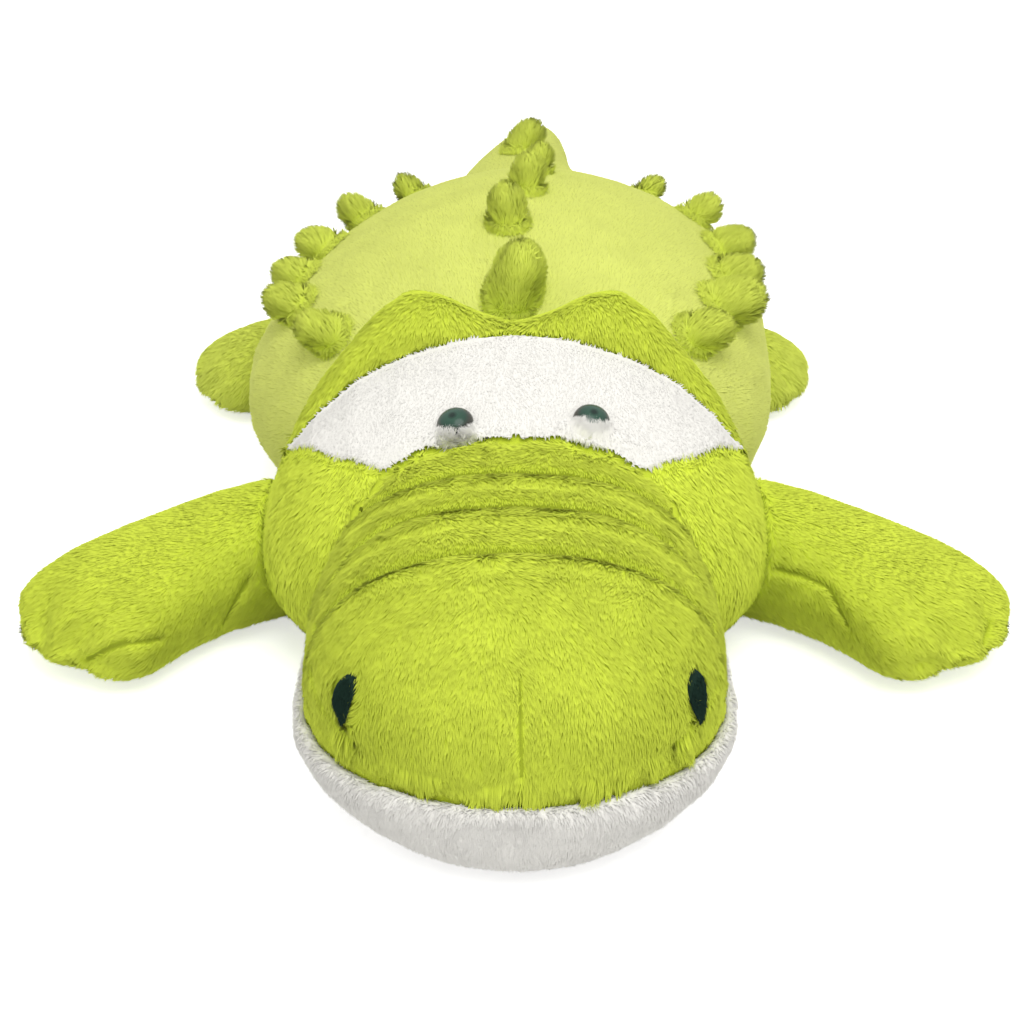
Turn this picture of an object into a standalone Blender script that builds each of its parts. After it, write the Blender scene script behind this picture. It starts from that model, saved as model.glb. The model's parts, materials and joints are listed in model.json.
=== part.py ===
"""A large stuffed crocodile that lies on its belly, with its head low and its legs spread.

Metres, +Z up. The nose points to -Y and the tail to +Y, and the origin is on the ground under
the middle of the animal. Each cover is a shell of pile cloth round its own stuffing, open where it
is sewn to the larger piece that carries it. The pile itself is left out, apart from its depth.
"""
import math

import bmesh
import bpy
from mathutils import Vector
from mathutils.bvhtree import BVHTree

# Cloth, clearances and cuts
GAP = 0.0003
CLOTH = 0.007
REST_DEPTH = 0.0005
OVERRUN = 0.03

# Where each large form begins behind the nose, and its length
JAW_LENGTH = 0.26
SNOUT_SETBACK = 0.014
SNOUT_LENGTH = 0.29
HEAD_SETBACK = 0.165
HEAD_LENGTH = 0.255
BODY_SETBACK = 0.27
BODY_LENGTH = 0.555
TAIL_LENGTH = 0.205

# Half widths, heights, and the height at which each form is widest
JAW_HALF_WIDTH = 0.134
JAW_WAIST = 0.046
JAW_LIP = 0.064
SNOUT_HALF_WIDTH = 0.127
SNOUT_HEIGHT = 0.16
SNOUT_WAIST = 0.056
SNOUT_KEEL = 0.024
HEAD_HALF_WIDTH = 0.162
HEAD_HEIGHT = 0.184
HEAD_WAIST = 0.07
BODY_HALF_WIDTH = 0.188
BODY_HEIGHT = 0.195
BODY_WAIST = 0.07
SWAY = 0.03

# Creases sewn across the snout, the first one measured from its front
FIRST_CREASE = 0.112
CREASE_PITCH = 0.039
CREASE_DEPTH = 0.005
CREASE_WIDTH = 0.009
CREASES = 3

# White band round the eyes, and the roll behind it
MASK_THICKNESS = 0.004
MASK_HALF_WIDTH = 0.148
MASK_FRONT_SETBACK = 0.222
MASK_REAR_SETBACK = 0.337
MASK_CORNER_SETBACK = 0.31
BROW_HALF_WIDTH = 0.15
BROW_RADIUS = 0.034
BROW_HEIGHT = 0.171
BROW_SETBACK = 0.363

# Eyes, each with the shank that passes through the cloth and the washer that locks it. Both are sewn
# a little to the left, and the right one a little farther forward
EYE_RADIUS = 0.0115
EYE_RISE = 0.008
EYE_SINK = 0.004
EYE_SPACING = 0.0835
EYE_SHIFT = 0.0055
EYE_SETBACK = 0.2585
EYE_SKEW = 0.005
SHANK_RADIUS = 0.003
SHANK_LENGTH = 0.019
WASHER_RADIUS = 0.009
WASHER_THICKNESS = 0.0025
WASHER_DROP = 0.0018

# Nostril patches
NOSTRIL_HALF_WIDTH = 0.009
NOSTRIL_HALF_HEIGHT = 0.018
NOSTRIL_THICKNESS = 0.0015
NOSTRIL_SPACING = 0.199
NOSTRIL_SHIFT = 0.003
NOSTRIL_HEIGHT = 0.088

# Fore legs, laid forward and outward: distances from the middle and behind the nose, and how far
# the toes lie before the elbow. Each leg is sewn to the body at its seam, whose top edge is its hinge
FORE_ROOT_X = 0.09
FORE_ROOT_SETBACK = 0.343
FORE_ELBOW_X = 0.235
FORE_ELBOW_SETBACK = 0.29
FORE_TOE_X = 0.293
FORE_TOE_REACH = 0.081
FORE_THICKNESS = 0.089
FORE_WIDTH = 0.094
FORE_FOOT_WIDTH = 0.121
FORE_TOE_DEPTH = 0.018
FORE_SEAM_X = 0.142
FORE_SEAM_HEIGHT = 0.092

# Hind legs
HIND_ROOT_X = 0.08
HIND_ROOT_SETBACK = 0.66
HIND_ELBOW_X = 0.17
HIND_ELBOW_SETBACK = 0.62
HIND_TOE_X = 0.232
HIND_TOE_REACH = 0.031
HIND_SHIFT = 0.009
HIND_THICKNESS = 0.06
HIND_WIDTH = 0.09
HIND_FOOT_WIDTH = 0.09
HIND_TOE_DEPTH = 0.01
HIND_SEAM_X = 0.157
HIND_SEAM_HEIGHT = 0.068

# Spikes of stuffed cloth, along the sides and along the back
SPIKE_LENGTH = 0.027
SPIKE_BASE = 0.038
SPIKE_THICKNESS = 0.026
SPIKE_ROOT = 0.016
CREST_LENGTH = 0.038
CREST_BASE = 0.056
CREST_THICKNESS = 0.038

# Facets: round a form, then rings over each rounded end, then rings between the ends
BODY_FACETS = (28, 6, 9)
HEAD_FACETS = (28, 5, 3)
SNOUT_FACETS = (28, 7, 6)
JAW_FACETS = (28, 6, 3)
TAIL_FACETS = (16, 4, 7)
CORE_FACETS = (18, 5, 6)
SMALL_CORE_FACETS = (18, 4, 3)
TAIL_CORE_FACETS = (12, 4, 5)
LEG_FACETS = (16, 13)
LEG_CORE_FACETS = (10, 8)
BROW_FACETS = (12, 20)
MASK_STEPS = 8
SPIKE_FACETS = (10, 5)
EYE_FACETS = (16, 5)
SHANK_AROUND = 10
NOSTRIL_AROUND = 14

# Rounded ends as shares of the length: front, rear
BODY_ENDS = (0.34, 0)
TAIL_ENDS = (0, 0.2)
HEAD_ENDS = (0.5, 0.32)
SNOUT_ENDS = (0.42, 0)
JAW_ENDS = (0.5, 0)

# How square the forms are: 2 is an ellipse, less is more pointed and more is boxier
PEAKED = 1.85
ROUND = 2
PLUMP = 2.4
SOLE = 2.6
FLAT = 3
BLUNT = 4

# Profiles: how far along the form, then the share of its full size
BODY_WIDTH_SHARES = ((0, 0.74), (0.2, 0.88), (0.37, 1), (0.52, 0.98), (0.68, 0.9), (0.84, 0.68), (1, 0.45))
BODY_TOP_SHARES = ((0, 0.78), (0.2, 0.93), (0.38, 1), (0.55, 0.98), (0.7, 0.88), (0.85, 0.71), (1, 0.53))
BODY_WAIST_SHARES = ((0, 1.05), (0.45, 1), (0.75, 0.9), (1, 0.66))
TAIL_WIDTH_SHARES = ((0, 0.45), (0.3, 0.33), (0.6, 0.23), (0.85, 0.15), (1, 0.11))
TAIL_TOP_SHARES = ((0, 0.53), (0.3, 0.49), (0.6, 0.46), (0.85, 0.41), (1, 0.37))
TAIL_WAIST_SHARES = ((0, 0.66), (0.5, 0.5), (1, 0.4))
HEAD_WIDTH_SHARES = ((0, 0.94), (0.35, 1), (0.7, 0.96), (1, 0.84))
HEAD_TOP_SHARES = ((0, 0.79), (0.35, 0.9), (0.7, 1), (1, 0.98))
SNOUT_WIDTH_SHARES = ((0, 0.97), (0.3, 1), (0.6, 0.97), (1, 0.93))
SNOUT_TOP_SHARES = ((0, 0.87), (0.3, 0.92), (0.5, 0.96), (0.8, 1), (1, 1))
JAW_WIDTH_SHARES = ((0, 0.97), (0.4, 1), (0.8, 0.95), (1, 0.9))
SWAY_SHARES = ((0, 0), (0.38, 0), (0.48, -0.1), (0.58, 0.3), (0.67, 0.45), (0.8, 0.3), (0.9, 0.25), (1, 1))
FORE_HEIGHT_SHARES = ((0, 0.93), (0.3, 0.98), (0.5, 0.92), (0.7, 0.82), (0.88, 0.69), (1, 0.55))
HIND_HEIGHT_SHARES = ((0, 0.95), (0.3, 1), (0.6, 0.96), (0.8, 0.84), (1, 0.6))
LEG_WIDTH_SHARES = ((0, 0), (0.45, 0.04), (0.62, 0.5), (0.78, 1), (0.9, 0.96), (1, 0.86))
LEG_TIP_SHARE = 0.28
LEG_CORNER_SHARE = 0.22
LEG_TOES_SHARE = 0.66
BROW_TOP_SHARES = ((-1, 0.64), (-0.75, 0.84), (-0.45, 1), (0, 0.98), (0.45, 1), (0.75, 0.84), (1, 0.64))
BROW_RADIUS_SHARES = ((-1, 0.5), (-0.75, 0.72), (-0.45, 1), (0, 0.6), (0.45, 1), (0.75, 0.72), (1, 0.5))
BROW_SETBACK_SHARES = ((-1, 0.86), (-0.8, 0.93), (-0.48, 1), (0, 0.97), (0.48, 1), (0.8, 0.93), (1, 0.86))
BROW_END_SHARE = 0.1
MASK_POINTED = 3

# Spikes: places and sizes from front to rear, and how far each leans to one side and back. The two
# sides differ a little, as sewn ones do
SIDE_PLACE_SHARES = (0.27, 0.37, 0.47, 0.57, 0.675, 0.82)
LEFT_SIZE_SHARES = (0.95, 1.15, 1, 0.95, 0.85, 0.7)
RIGHT_SIZE_SHARES = (0.9, 0.9, 0.85, 0.9, 0.85, 0.75)
SIDE_HEIGHT_SHARES = (0.63, 0.57, 0.54, 0.56, 0.63, 0.7)
SIDE_TILT_SHARES = (0.3, 0.25, 0.2, 0.25, 0.7, 0.9)
CREST_PLACE_SHARES = (0.25, 0.41, 0.54, 0.66)
CREST_SIZE_SHARES = (0.88, 0.66, 0.62, 0.5)
CREST_SIDE_SHARES = (0.3, -0.1, 0.2, 0.3)
CREST_BACK_SHARES = (0.15, 0.1, 0.1, 0.1)
CREST_SWAY_SHARE = 1.4
TAIL_SPIKE_PLACE_SHARE = 0.35
TAIL_SPIKE_SIZE_SHARE = 0.65
TAIL_SPIKE_SIDE_SHARE = 0.8
TAIL_SPIKE_BACK_SHARE = 0.3
SPIKE_TAPER_SHARES = ((0, 1), (0.35, 0.97), (0.7, 0.87), (1, 0.7))
SPIKE_TIP_SHARE = 0.45

# Colours of the cloths and of the moulded pieces
GREEN = (0.49, 0.66, 0.04)
BACK_GREEN = (0.66, 0.74, 0.15)
WHITE = (0.84, 0.84, 0.81)
NOSTRIL_GREEN = (0.012, 0.05, 0.03)
EYE_GREEN = (0.01, 0.045, 0.035)
STUFFING = (0.9, 0.9, 0.9)
WASHER_WHITE = (0.8, 0.8, 0.78)
PILE_ROUGHNESS = 0.95
EYE_ROUGHNESS = 0.08
WASHER_ROUGHNESS = 0.4

TOTAL_LENGTH = BODY_SETBACK + BODY_LENGTH + TAIL_LENGTH
NOSE_Y = -TOTAL_LENGTH / 2
TAIL_SEAM_Y = NOSE_Y + BODY_SETBACK + BODY_LENGTH
SIDES = (("left", 1), ("right", -1))
ACROSS = Vector((1, 0, 0))
ONWARD = Vector((0, 1, 0))
UP = Vector((0, 0, 1))


def clear_scene():
    for old in list(bpy.data.objects):
        bpy.data.objects.remove(old)


def material(name, colour, roughness=PILE_ROUGHNESS):
    made = bpy.data.materials.new(name)
    made.use_nodes = True
    shader = made.node_tree.nodes["Principled BSDF"]
    shader.inputs["Base Color"].default_value = (*colour, 1)
    shader.inputs["Roughness"].default_value = roughness
    return made


def along(shares, place):
    """The value at a place of a smooth curve through (place, share) pairs."""
    last = len(shares) - 1
    if place <= shares[0][0]:
        return shares[0][1]
    if place >= shares[last][0]:
        return shares[last][1]
    k = max(i for i in range(last) if shares[i][0] <= place)
    slopes = []
    for i in (k, k + 1):
        low, high = shares[max(i - 1, 0)], shares[min(i + 1, last)]
        slopes.append((high[1] - low[1]) / (high[0] - low[0]))
    (x0, y0), (x1, y1) = shares[k], shares[k + 1]
    step = x1 - x0
    u = (place - x0) / step
    return (
        y0 * (1 + 2 * u) * (1 - u) ** 2
        + y1 * u * u * (3 - 2 * u)
        + step * (slopes[0] * u * (1 - u) ** 2 - slopes[1] * u * u * (1 - u))
    )


def rounding(place, front, rear, bend=ROUND):
    """1 along the middle of a form, falling to 0 over each rounded end."""
    share = 1
    if front and place < front:
        share = max(0, 1 - (1 - place / front) ** bend) ** (1 / bend)
    if rear and place > 1 - rear:
        share *= max(0, 1 - (1 - (1 - place) / rear) ** bend) ** (1 / bend)
    return share


def stations(front, rear, end_rings, middle_rings):
    """Places from 0 to 1, closer together over the rounded ends."""
    quarter = math.pi / 2
    places = []
    if front:
        places += [front * (1 - math.cos(quarter * i / end_rings)) for i in range(end_rings)]
    places += [front + (1 - front - rear) * i / middle_rings for i in range(middle_rings + 1)]
    if rear:
        places += [1 - rear * (1 - math.sin(quarter * i / end_rings)) for i in range(1, end_rings + 1)]
    return places


def power(value, exponent):
    return math.copysign(abs(value) ** exponent, value)


def ring(centre, across, up, half_width, rise, drop, around, upper=ROUND, lower=ROUND):
    """Points of a section: as far as rise above its centre, and drop below it."""
    points = []
    for i in range(around):
        angle = 2 * math.pi * i / around
        above = math.sin(angle) >= 0
        bend = upper if above else lower
        side = half_width * power(math.cos(angle), 2 / bend)
        lift = (rise if above else drop) * power(math.sin(angle), 2 / bend)
        points.append(centre + across * side + up * lift)
    return points


def skin(name, rings):
    """A closed mesh over the rings. A ring without size is a pole, and any other end is a flat face."""
    form = bmesh.new()
    rows = []
    for points in rings:
        spread = max((p - points[0]).length for p in points)
        chosen = points[:1] if spread < GAP / 10 else points
        rows.append([form.verts.new(p) for p in chosen])
    for a, b in zip(rows, rows[1:]):
        count = max(len(a), len(b))
        for i in range(count):
            j = (i + 1) % count
            near, next_near, next_far, far = a[i % len(a)], a[j % len(a)], b[j % len(b)], b[i % len(b)]
            for corners in ((near, next_near, next_far), (near, next_far, far)):
                if len(set(corners)) == len(corners):
                    form.faces.new(corners)
    for row in (rows[0], rows[-1]):
        if len(row) > 1:
            form.faces.new(row)
    bmesh.ops.recalc_face_normals(form, faces=form.faces)
    if form.calc_volume(signed=True) < 0:
        bmesh.ops.reverse_faces(form, faces=form.faces)
    mesh = bpy.data.meshes.new(name)
    form.to_mesh(mesh)
    form.free()
    mesh.shade_smooth()
    return mesh


def piece(name, rings, finish, hinge=None):
    mesh = skin(name, rings)
    mesh.materials.append(finish)
    made = bpy.data.objects.new(name, mesh)
    bpy.context.scene.collection.objects.link(made)
    if hinge:
        made.parent = hinge
        made.location = -hinge.location
    return made


def hinge_at(name, place):
    """An empty on a joint's axis, which carries the pieces that move with it."""
    made = bpy.data.objects.new(name, None)
    made.location = place
    bpy.context.scene.collection.objects.link(made)
    return made


def guide(name, rings):
    """A form that only cuts or measures."""
    made = bpy.data.objects.new(name, skin(name, rings))
    bpy.context.scene.collection.objects.link(made)
    made.hide_render = True
    made.display_type = "WIRE"
    return made


def cut(target, *cutters, operation="DIFFERENCE"):
    for cutter in cutters:
        step = target.modifiers.new(cutter.name, "BOOLEAN")
        step.operation = operation
        step.object = cutter


def sway(y):
    """How far the middle of the animal lies to one side at a place along it."""
    return SWAY * along(SWAY_SHARES, (y - NOSE_Y) / TOTAL_LENGTH)


class Form:
    """A stuffed form along Y. Its width, top and waist are functions of the place along it."""

    def __init__(self, setback, length, ends, width, top, waist, keel, facets, upper=ROUND, lower=FLAT):
        self.start = NOSE_Y + setback
        self.length = length
        self.ends = ends
        self.width = width
        self.top = top
        self.waist = waist
        self.keel = keel
        self.facets = facets
        self.upper = upper
        self.lower = lower
        self.plan = ROUND
        self.blunt = ROUND

    def places(self, facets):
        return stations(*self.ends, *facets[1:])

    def rings(self, grow, facets=None, places=None):
        """Its sections, swollen all round by grow, or thinned where that is negative."""
        facets = facets or self.facets
        front, rear = self.ends
        begin = self.start - (grow if front else 0)
        reach = self.length + (grow if front else 0) + (grow if rear else 0)
        sections = []
        for place in places or self.places(facets):
            flat_share = rounding(place, front, rear, self.plan)
            tall_share = rounding(place, front, rear, self.blunt)
            y = begin + reach * place
            waist = self.waist(place)
            sections.append(
                ring(
                    Vector((sway(y), y, waist)),
                    ACROSS,
                    UP,
                    (self.width(place) + grow) * flat_share,
                    (self.top(place) - waist + grow) * tall_share,
                    (waist - self.keel + grow) * tall_share,
                    facets[0],
                    self.upper,
                    self.lower,
                )
            )
        return sections


def body_form():
    return Form(
        BODY_SETBACK,
        BODY_LENGTH,
        BODY_ENDS,
        lambda t: BODY_HALF_WIDTH * along(BODY_WIDTH_SHARES, t),
        lambda t: BODY_HEIGHT * along(BODY_TOP_SHARES, t),
        lambda t: BODY_WAIST * along(BODY_WAIST_SHARES, t),
        -REST_DEPTH,
        BODY_FACETS,
        PEAKED,
    )


def tail_form():
    return Form(
        BODY_SETBACK + BODY_LENGTH + GAP,
        TAIL_LENGTH - GAP,
        TAIL_ENDS,
        lambda t: BODY_HALF_WIDTH * along(TAIL_WIDTH_SHARES, t),
        lambda t: BODY_HEIGHT * along(TAIL_TOP_SHARES, t),
        lambda t: BODY_WAIST * along(TAIL_WAIST_SHARES, t),
        -REST_DEPTH,
        TAIL_FACETS,
    )


def head_form():
    form = Form(
        HEAD_SETBACK,
        HEAD_LENGTH,
        HEAD_ENDS,
        lambda t: HEAD_HALF_WIDTH * along(HEAD_WIDTH_SHARES, t),
        lambda t: HEAD_HEIGHT * along(HEAD_TOP_SHARES, t),
        lambda t: HEAD_WAIST,
        -REST_DEPTH,
        HEAD_FACETS,
    )
    form.plan = SOLE
    return form


def snout_form():
    return Form(
        SNOUT_SETBACK,
        SNOUT_LENGTH,
        SNOUT_ENDS,
        lambda t: SNOUT_HALF_WIDTH * along(SNOUT_WIDTH_SHARES, t),
        lambda t: SNOUT_HEIGHT * along(SNOUT_TOP_SHARES, t),
        lambda t: SNOUT_WAIST,
        SNOUT_KEEL,
        SNOUT_FACETS,
        PLUMP,
    )


def creased_snout_form():
    """The snout with its creases pressed in."""

    def groove(place):
        depth = 0
        for i in range(CREASES):
            off = (place * SNOUT_LENGTH - FIRST_CREASE - i * CREASE_PITCH) / CREASE_WIDTH
            depth += CREASE_DEPTH * max(0, 1 - abs(off))
        return depth

    form = snout_form()
    plain_width, plain_top = form.width, form.top
    form.width = lambda t: plain_width(t) - groove(t)
    form.top = lambda t: plain_top(t) - groove(t)
    return form


def crease_places(form):
    """Places for the sections of the creased snout: one at the foot and each edge of every crease."""
    edges = []
    for i in range(CREASES):
        middle = FIRST_CREASE + i * CREASE_PITCH
        edges += [(middle + k * CREASE_WIDTH) / SNOUT_LENGTH for k in (-1, 0, 1)]
    clear = CREASE_DEPTH / SNOUT_LENGTH
    plain = [p for p in form.places(form.facets) if min(abs(p - e) for e in edges) > clear]
    return sorted(plain + edges)


def muzzle_core_form():
    """The stuffing that fills snout and jaw."""
    inset = CLOTH + CREASE_DEPTH
    return Form(
        SNOUT_SETBACK + CLOTH,
        SNOUT_LENGTH - CLOTH,
        SNOUT_ENDS,
        lambda t: SNOUT_HALF_WIDTH * along(SNOUT_WIDTH_SHARES, t) - inset,
        lambda t: SNOUT_HEIGHT * along(SNOUT_TOP_SHARES, t) - inset,
        lambda t: SNOUT_WAIST,
        CLOTH,
        CORE_FACETS,
        PLUMP,
    )


def jaw_form():
    form = Form(
        0,
        JAW_LENGTH,
        JAW_ENDS,
        lambda t: JAW_HALF_WIDTH * along(JAW_WIDTH_SHARES, t),
        lambda t: JAW_LIP,
        lambda t: JAW_WAIST,
        -REST_DEPTH,
        JAW_FACETS,
        ROUND,
        PLUMP,
    )
    form.blunt = BLUNT
    return form


def run_past(rings, distance):
    """The rings with a flat end carried further along Y: the last one, or the first if negative."""
    carried = [p + ONWARD * distance for p in (rings[-1] if distance > 0 else rings[0])]
    return rings + [carried] if distance > 0 else [carried] + rings


class Leg:
    """A leg that lies on the ground, from inside the body out to its three toes."""

    def __init__(self, side, shift, places, seam, thickness, heights, width, foot_width, toe_depth):
        self.side = side
        root_y = NOSE_Y + places[0][1]
        self.seam = Vector((side * seam[0] + sway(root_y), root_y, seam[1]))
        self.points = [Vector((side * x - shift, NOSE_Y + y, 0)) for x, y in places]
        self.thickness = thickness
        self.heights = heights
        self.width = width
        self.foot_width = foot_width
        self.toe_depth = toe_depth

    def path(self, place):
        """A point of the curve along its middle, and the way it runs there, seen from above."""
        start, elbow, toe = self.points
        first, second = start.lerp(elbow, place), elbow.lerp(toe, place)
        return first.lerp(second, place), (second - first).normalized()

    def section(self, place, grow, around):
        point, onward = self.path(place)
        across = Vector((onward.y, -onward.x, 0)) * self.side
        flare = along(LEG_WIDTH_SHARES, place)
        half_width = (self.width + (self.foot_width - self.width) * flare) / 2
        waist = self.thickness * along(self.heights, place) / 2
        tip = rounding(place, 0, LEG_TIP_SHARE)
        corner = rounding(place, 0, LEG_CORNER_SHARE, FLAT)
        centre = point + UP * waist + onward * grow * place
        points = ring(
            centre,
            across,
            UP,
            (half_width + grow) * corner,
            (waist + grow) * tip,
            (waist + REST_DEPTH + grow) * tip,
            around,
            ROUND,
            SOLE,
        )
        return centre, onward, points

    def rings(self, grow, facets):
        around, count = facets
        sections = []
        for i in range(count):
            place = math.sin(math.pi / 2 * i / count)
            _, onward, points = self.section(place, grow, around)
            reach = max(0, (place - LEG_TOES_SHARE) / (1 - LEG_TOES_SHARE)) ** 2
            for k in range(around):
                side = math.cos(2 * math.pi * k / around)
                notch = 1 - abs(math.cos(1.5 * math.pi * side)) if grow >= 0 else 1
                points[k] -= onward * self.toe_depth * notch * reach
            sections.append(points)
        centre, onward, _ = self.section(1, grow, around)
        pulled = self.toe_depth if grow < 0 else 0
        sections.append([centre - onward * pulled] * around)
        if grow < 0:
            inward = (self.points[0] - self.points[1]).normalized() * OVERRUN
            sections = [[p + inward for p in sections[0]]] + sections
        return sections


def fore_leg(side):
    places = (
        (FORE_ROOT_X, FORE_ROOT_SETBACK),
        (FORE_ELBOW_X, FORE_ELBOW_SETBACK),
        (FORE_TOE_X, FORE_ELBOW_SETBACK - FORE_TOE_REACH),
    )
    return Leg(
        side,
        0,
        places,
        (FORE_SEAM_X, FORE_SEAM_HEIGHT),
        FORE_THICKNESS,
        FORE_HEIGHT_SHARES,
        FORE_WIDTH,
        FORE_FOOT_WIDTH,
        FORE_TOE_DEPTH,
    )


def hind_leg(side):
    places = (
        (HIND_ROOT_X, HIND_ROOT_SETBACK),
        (HIND_ELBOW_X, HIND_ELBOW_SETBACK),
        (HIND_TOE_X, HIND_ELBOW_SETBACK - HIND_TOE_REACH),
    )
    return Leg(
        side,
        HIND_SHIFT,
        places,
        (HIND_SEAM_X, HIND_SEAM_HEIGHT),
        HIND_THICKNESS,
        HIND_HEIGHT_SHARES,
        HIND_WIDTH,
        HIND_FOOT_WIDTH,
        HIND_TOE_DEPTH,
    )


def brow_rings(grow):
    around, count = BROW_FACETS
    sections = []
    for i in range(count + 1):
        u = -math.cos(math.pi * i / count)
        rounded = rounding((u + 1) / 2, BROW_END_SHARE, BROW_END_SHARE)
        size = BROW_RADIUS * along(BROW_RADIUS_SHARES, u) * rounded + (grow if 0 < i < count else 0)
        place = NOSE_Y + BROW_SETBACK * along(BROW_SETBACK_SHARES, u)
        height = BROW_HEIGHT * along(BROW_TOP_SHARES, u)
        centre = Vector(((BROW_HALF_WIDTH + grow) * u, place, height))
        sections.append(ring(centre, ONWARD, UP, size, size, size, around))
    return sections


def spike_rings(seat, outward, length, base, thickness):
    """A stuffed spike from its oval seam to its blunt tip, with a root inside the body."""
    across = outward.cross(ONWARD).normalized()
    lengthways = across.cross(outward).normalized()
    around, count = SPIKE_FACETS
    sections = []
    for i in range(count + 1):
        place = math.sin(math.pi / 2 * i / count)
        size = along(SPIKE_TAPER_SHARES, place) * rounding(place, 0, SPIKE_TIP_SHARE) / 2
        centre = seat + outward * (length * place)
        thick = thickness * size
        sections.append(ring(centre, lengthways, across, base * size, thick, thick, around))
    return [[p - outward * SPIKE_ROOT for p in sections[0]]] + sections


def tree_of(form):
    """The surface of a guide, for finding where something is sewn to it."""
    shape = bmesh.new()
    shape.from_mesh(form.data)
    tree = BVHTree.FromBMesh(shape)
    shape.free()
    return tree


def look_down(tree, x, y):
    """The highest point of a surface over (x, y), and the way that it faces there."""
    point, facing, _, _ = tree.ray_cast(Vector((x, y, TOTAL_LENGTH)), -UP)
    return point, facing


def look_in(tree, y, z, side):
    """The outermost point of a surface at (y, z) from one side."""
    point, _, _, _ = tree.ray_cast(Vector((side * TOTAL_LENGTH, y, z)), ACROSS * -side)
    return point


def rod_rings(start, end, radius, around=EYE_FACETS[0]):
    way = (end - start).normalized()
    across = way.orthogonal().normalized()
    up = way.cross(across)
    return [ring(p, across, up, radius, radius, radius, around) for p in (start, end)]


def build_body(finish, core_finish, ground):
    form = body_form()
    cover = piece("body_cover", form.rings(0), finish)
    hollow = run_past(form.rings(GAP - CLOTH, CORE_FACETS), OVERRUN)
    cut(cover, guide("body_hollow", hollow), ground)
    piece("body_stuffing", form.rings(-CLOTH, CORE_FACETS), core_finish)
    return guide("body_space", form.rings(GAP))


def build_tail(finish, core_finish, ground):
    form = tail_form()
    seam_top = BODY_HEIGHT * along(TAIL_TOP_SHARES, 0)
    hinge = hinge_at("tail_hinge", Vector((0, TAIL_SEAM_Y, seam_top)))
    cover = piece("tail_cover", form.rings(0), finish, hinge)
    hollow = run_past(form.rings(GAP - CLOTH, TAIL_CORE_FACETS), -OVERRUN)
    cut(cover, guide("tail_hollow", hollow), ground)
    piece("tail_stuffing", form.rings(-CLOTH, TAIL_CORE_FACETS), core_finish, hinge)
    return guide("tail_space", form.rings(GAP)), hinge


def build_head(finish, core_finish, ground, body_space):
    form = head_form()
    cover = piece("head_cover", form.rings(0), finish)
    hollow = guide("head_hollow", form.rings(GAP - CLOTH, SMALL_CORE_FACETS))
    cut(cover, hollow, body_space, ground)
    core = piece("head_stuffing", form.rings(-CLOTH, SMALL_CORE_FACETS), core_finish)
    cut(core, body_space)
    return guide("head_space", form.rings(GAP)), cover, core


def build_muzzle(finish, jaw_finish, core_finish, ground, head_space):
    core_form = muzzle_core_form()
    core_space = guide("muzzle_hollow", core_form.rings(GAP))
    form = creased_snout_form()
    places = crease_places(form)
    snout = piece("snout_cover", form.rings(0, places=places), finish)
    cut(snout, core_space, head_space)
    snout_space = guide("snout_space", snout_form().rings(GAP, places=places))
    jaw = piece("jaw_cover", jaw_form().rings(0), jaw_finish)
    cut(jaw, snout_space, core_space, head_space, ground)
    core = piece("muzzle_stuffing", core_form.rings(0), core_finish)
    cut(core, head_space)
    return snout_space


def build_leg(name, leg, finish, core_finish, ground, spaces):
    hinge = hinge_at(name + "_hinge", leg.seam)
    inner = [Vector((x, y, 0)) for x in (0, leg.seam.x) for y in (NOSE_Y, -NOSE_Y)]
    inner = [inner[k] for k in (0, 2, 3, 1)]
    box = [[p - UP * OVERRUN for p in inner], [p + UP * BODY_HEIGHT for p in inner]]
    behind = guide(name + "_behind", box)
    cover = piece(name + "_cover", leg.rings(0, LEG_FACETS), finish, hinge)
    hollow = guide(name + "_hollow", leg.rings(GAP - CLOTH, LEG_CORE_FACETS))
    cut(cover, ground, behind, *spaces, hollow)
    core = piece(name + "_stuffing", leg.rings(-CLOTH, LEG_CORE_FACETS), core_finish, hinge)
    cut(core, behind, *spaces)


def build_brow(finish, spaces):
    cut(piece("brow_cover", brow_rings(0), finish), *spaces)
    return guide("brow_space", brow_rings(GAP))


def build_mask(finish, spaces):
    """The white band: a skin on the head, in the outline of two arcs that meet at the corners."""
    rim = []
    for i in range(2 * MASK_STEPS):
        forward = i <= MASK_STEPS
        u = (-1 + 2 * i / MASK_STEPS) if forward else (3 - 2 * i / MASK_STEPS)
        middle = MASK_FRONT_SETBACK if forward else MASK_REAR_SETBACK
        bend = MASK_POINTED if forward else ROUND
        rim.append((u, middle + (MASK_CORNER_SETBACK - middle) * abs(u) ** bend))
    low = [Vector((MASK_HALF_WIDTH * u, NOSE_Y + place, HEAD_WAIST)) for u, place in rim]
    outline = guide("mask_outline", [low, [p + UP * HEAD_HEIGHT for p in low]])
    form = head_form()
    mask = piece("eye_mask", form.rings(MASK_THICKNESS), finish)
    cut(mask, outline, operation="INTERSECT")
    cut(mask, *spaces)
    return mask, guide("mask_space", form.rings(MASK_THICKNESS + GAP))


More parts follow.
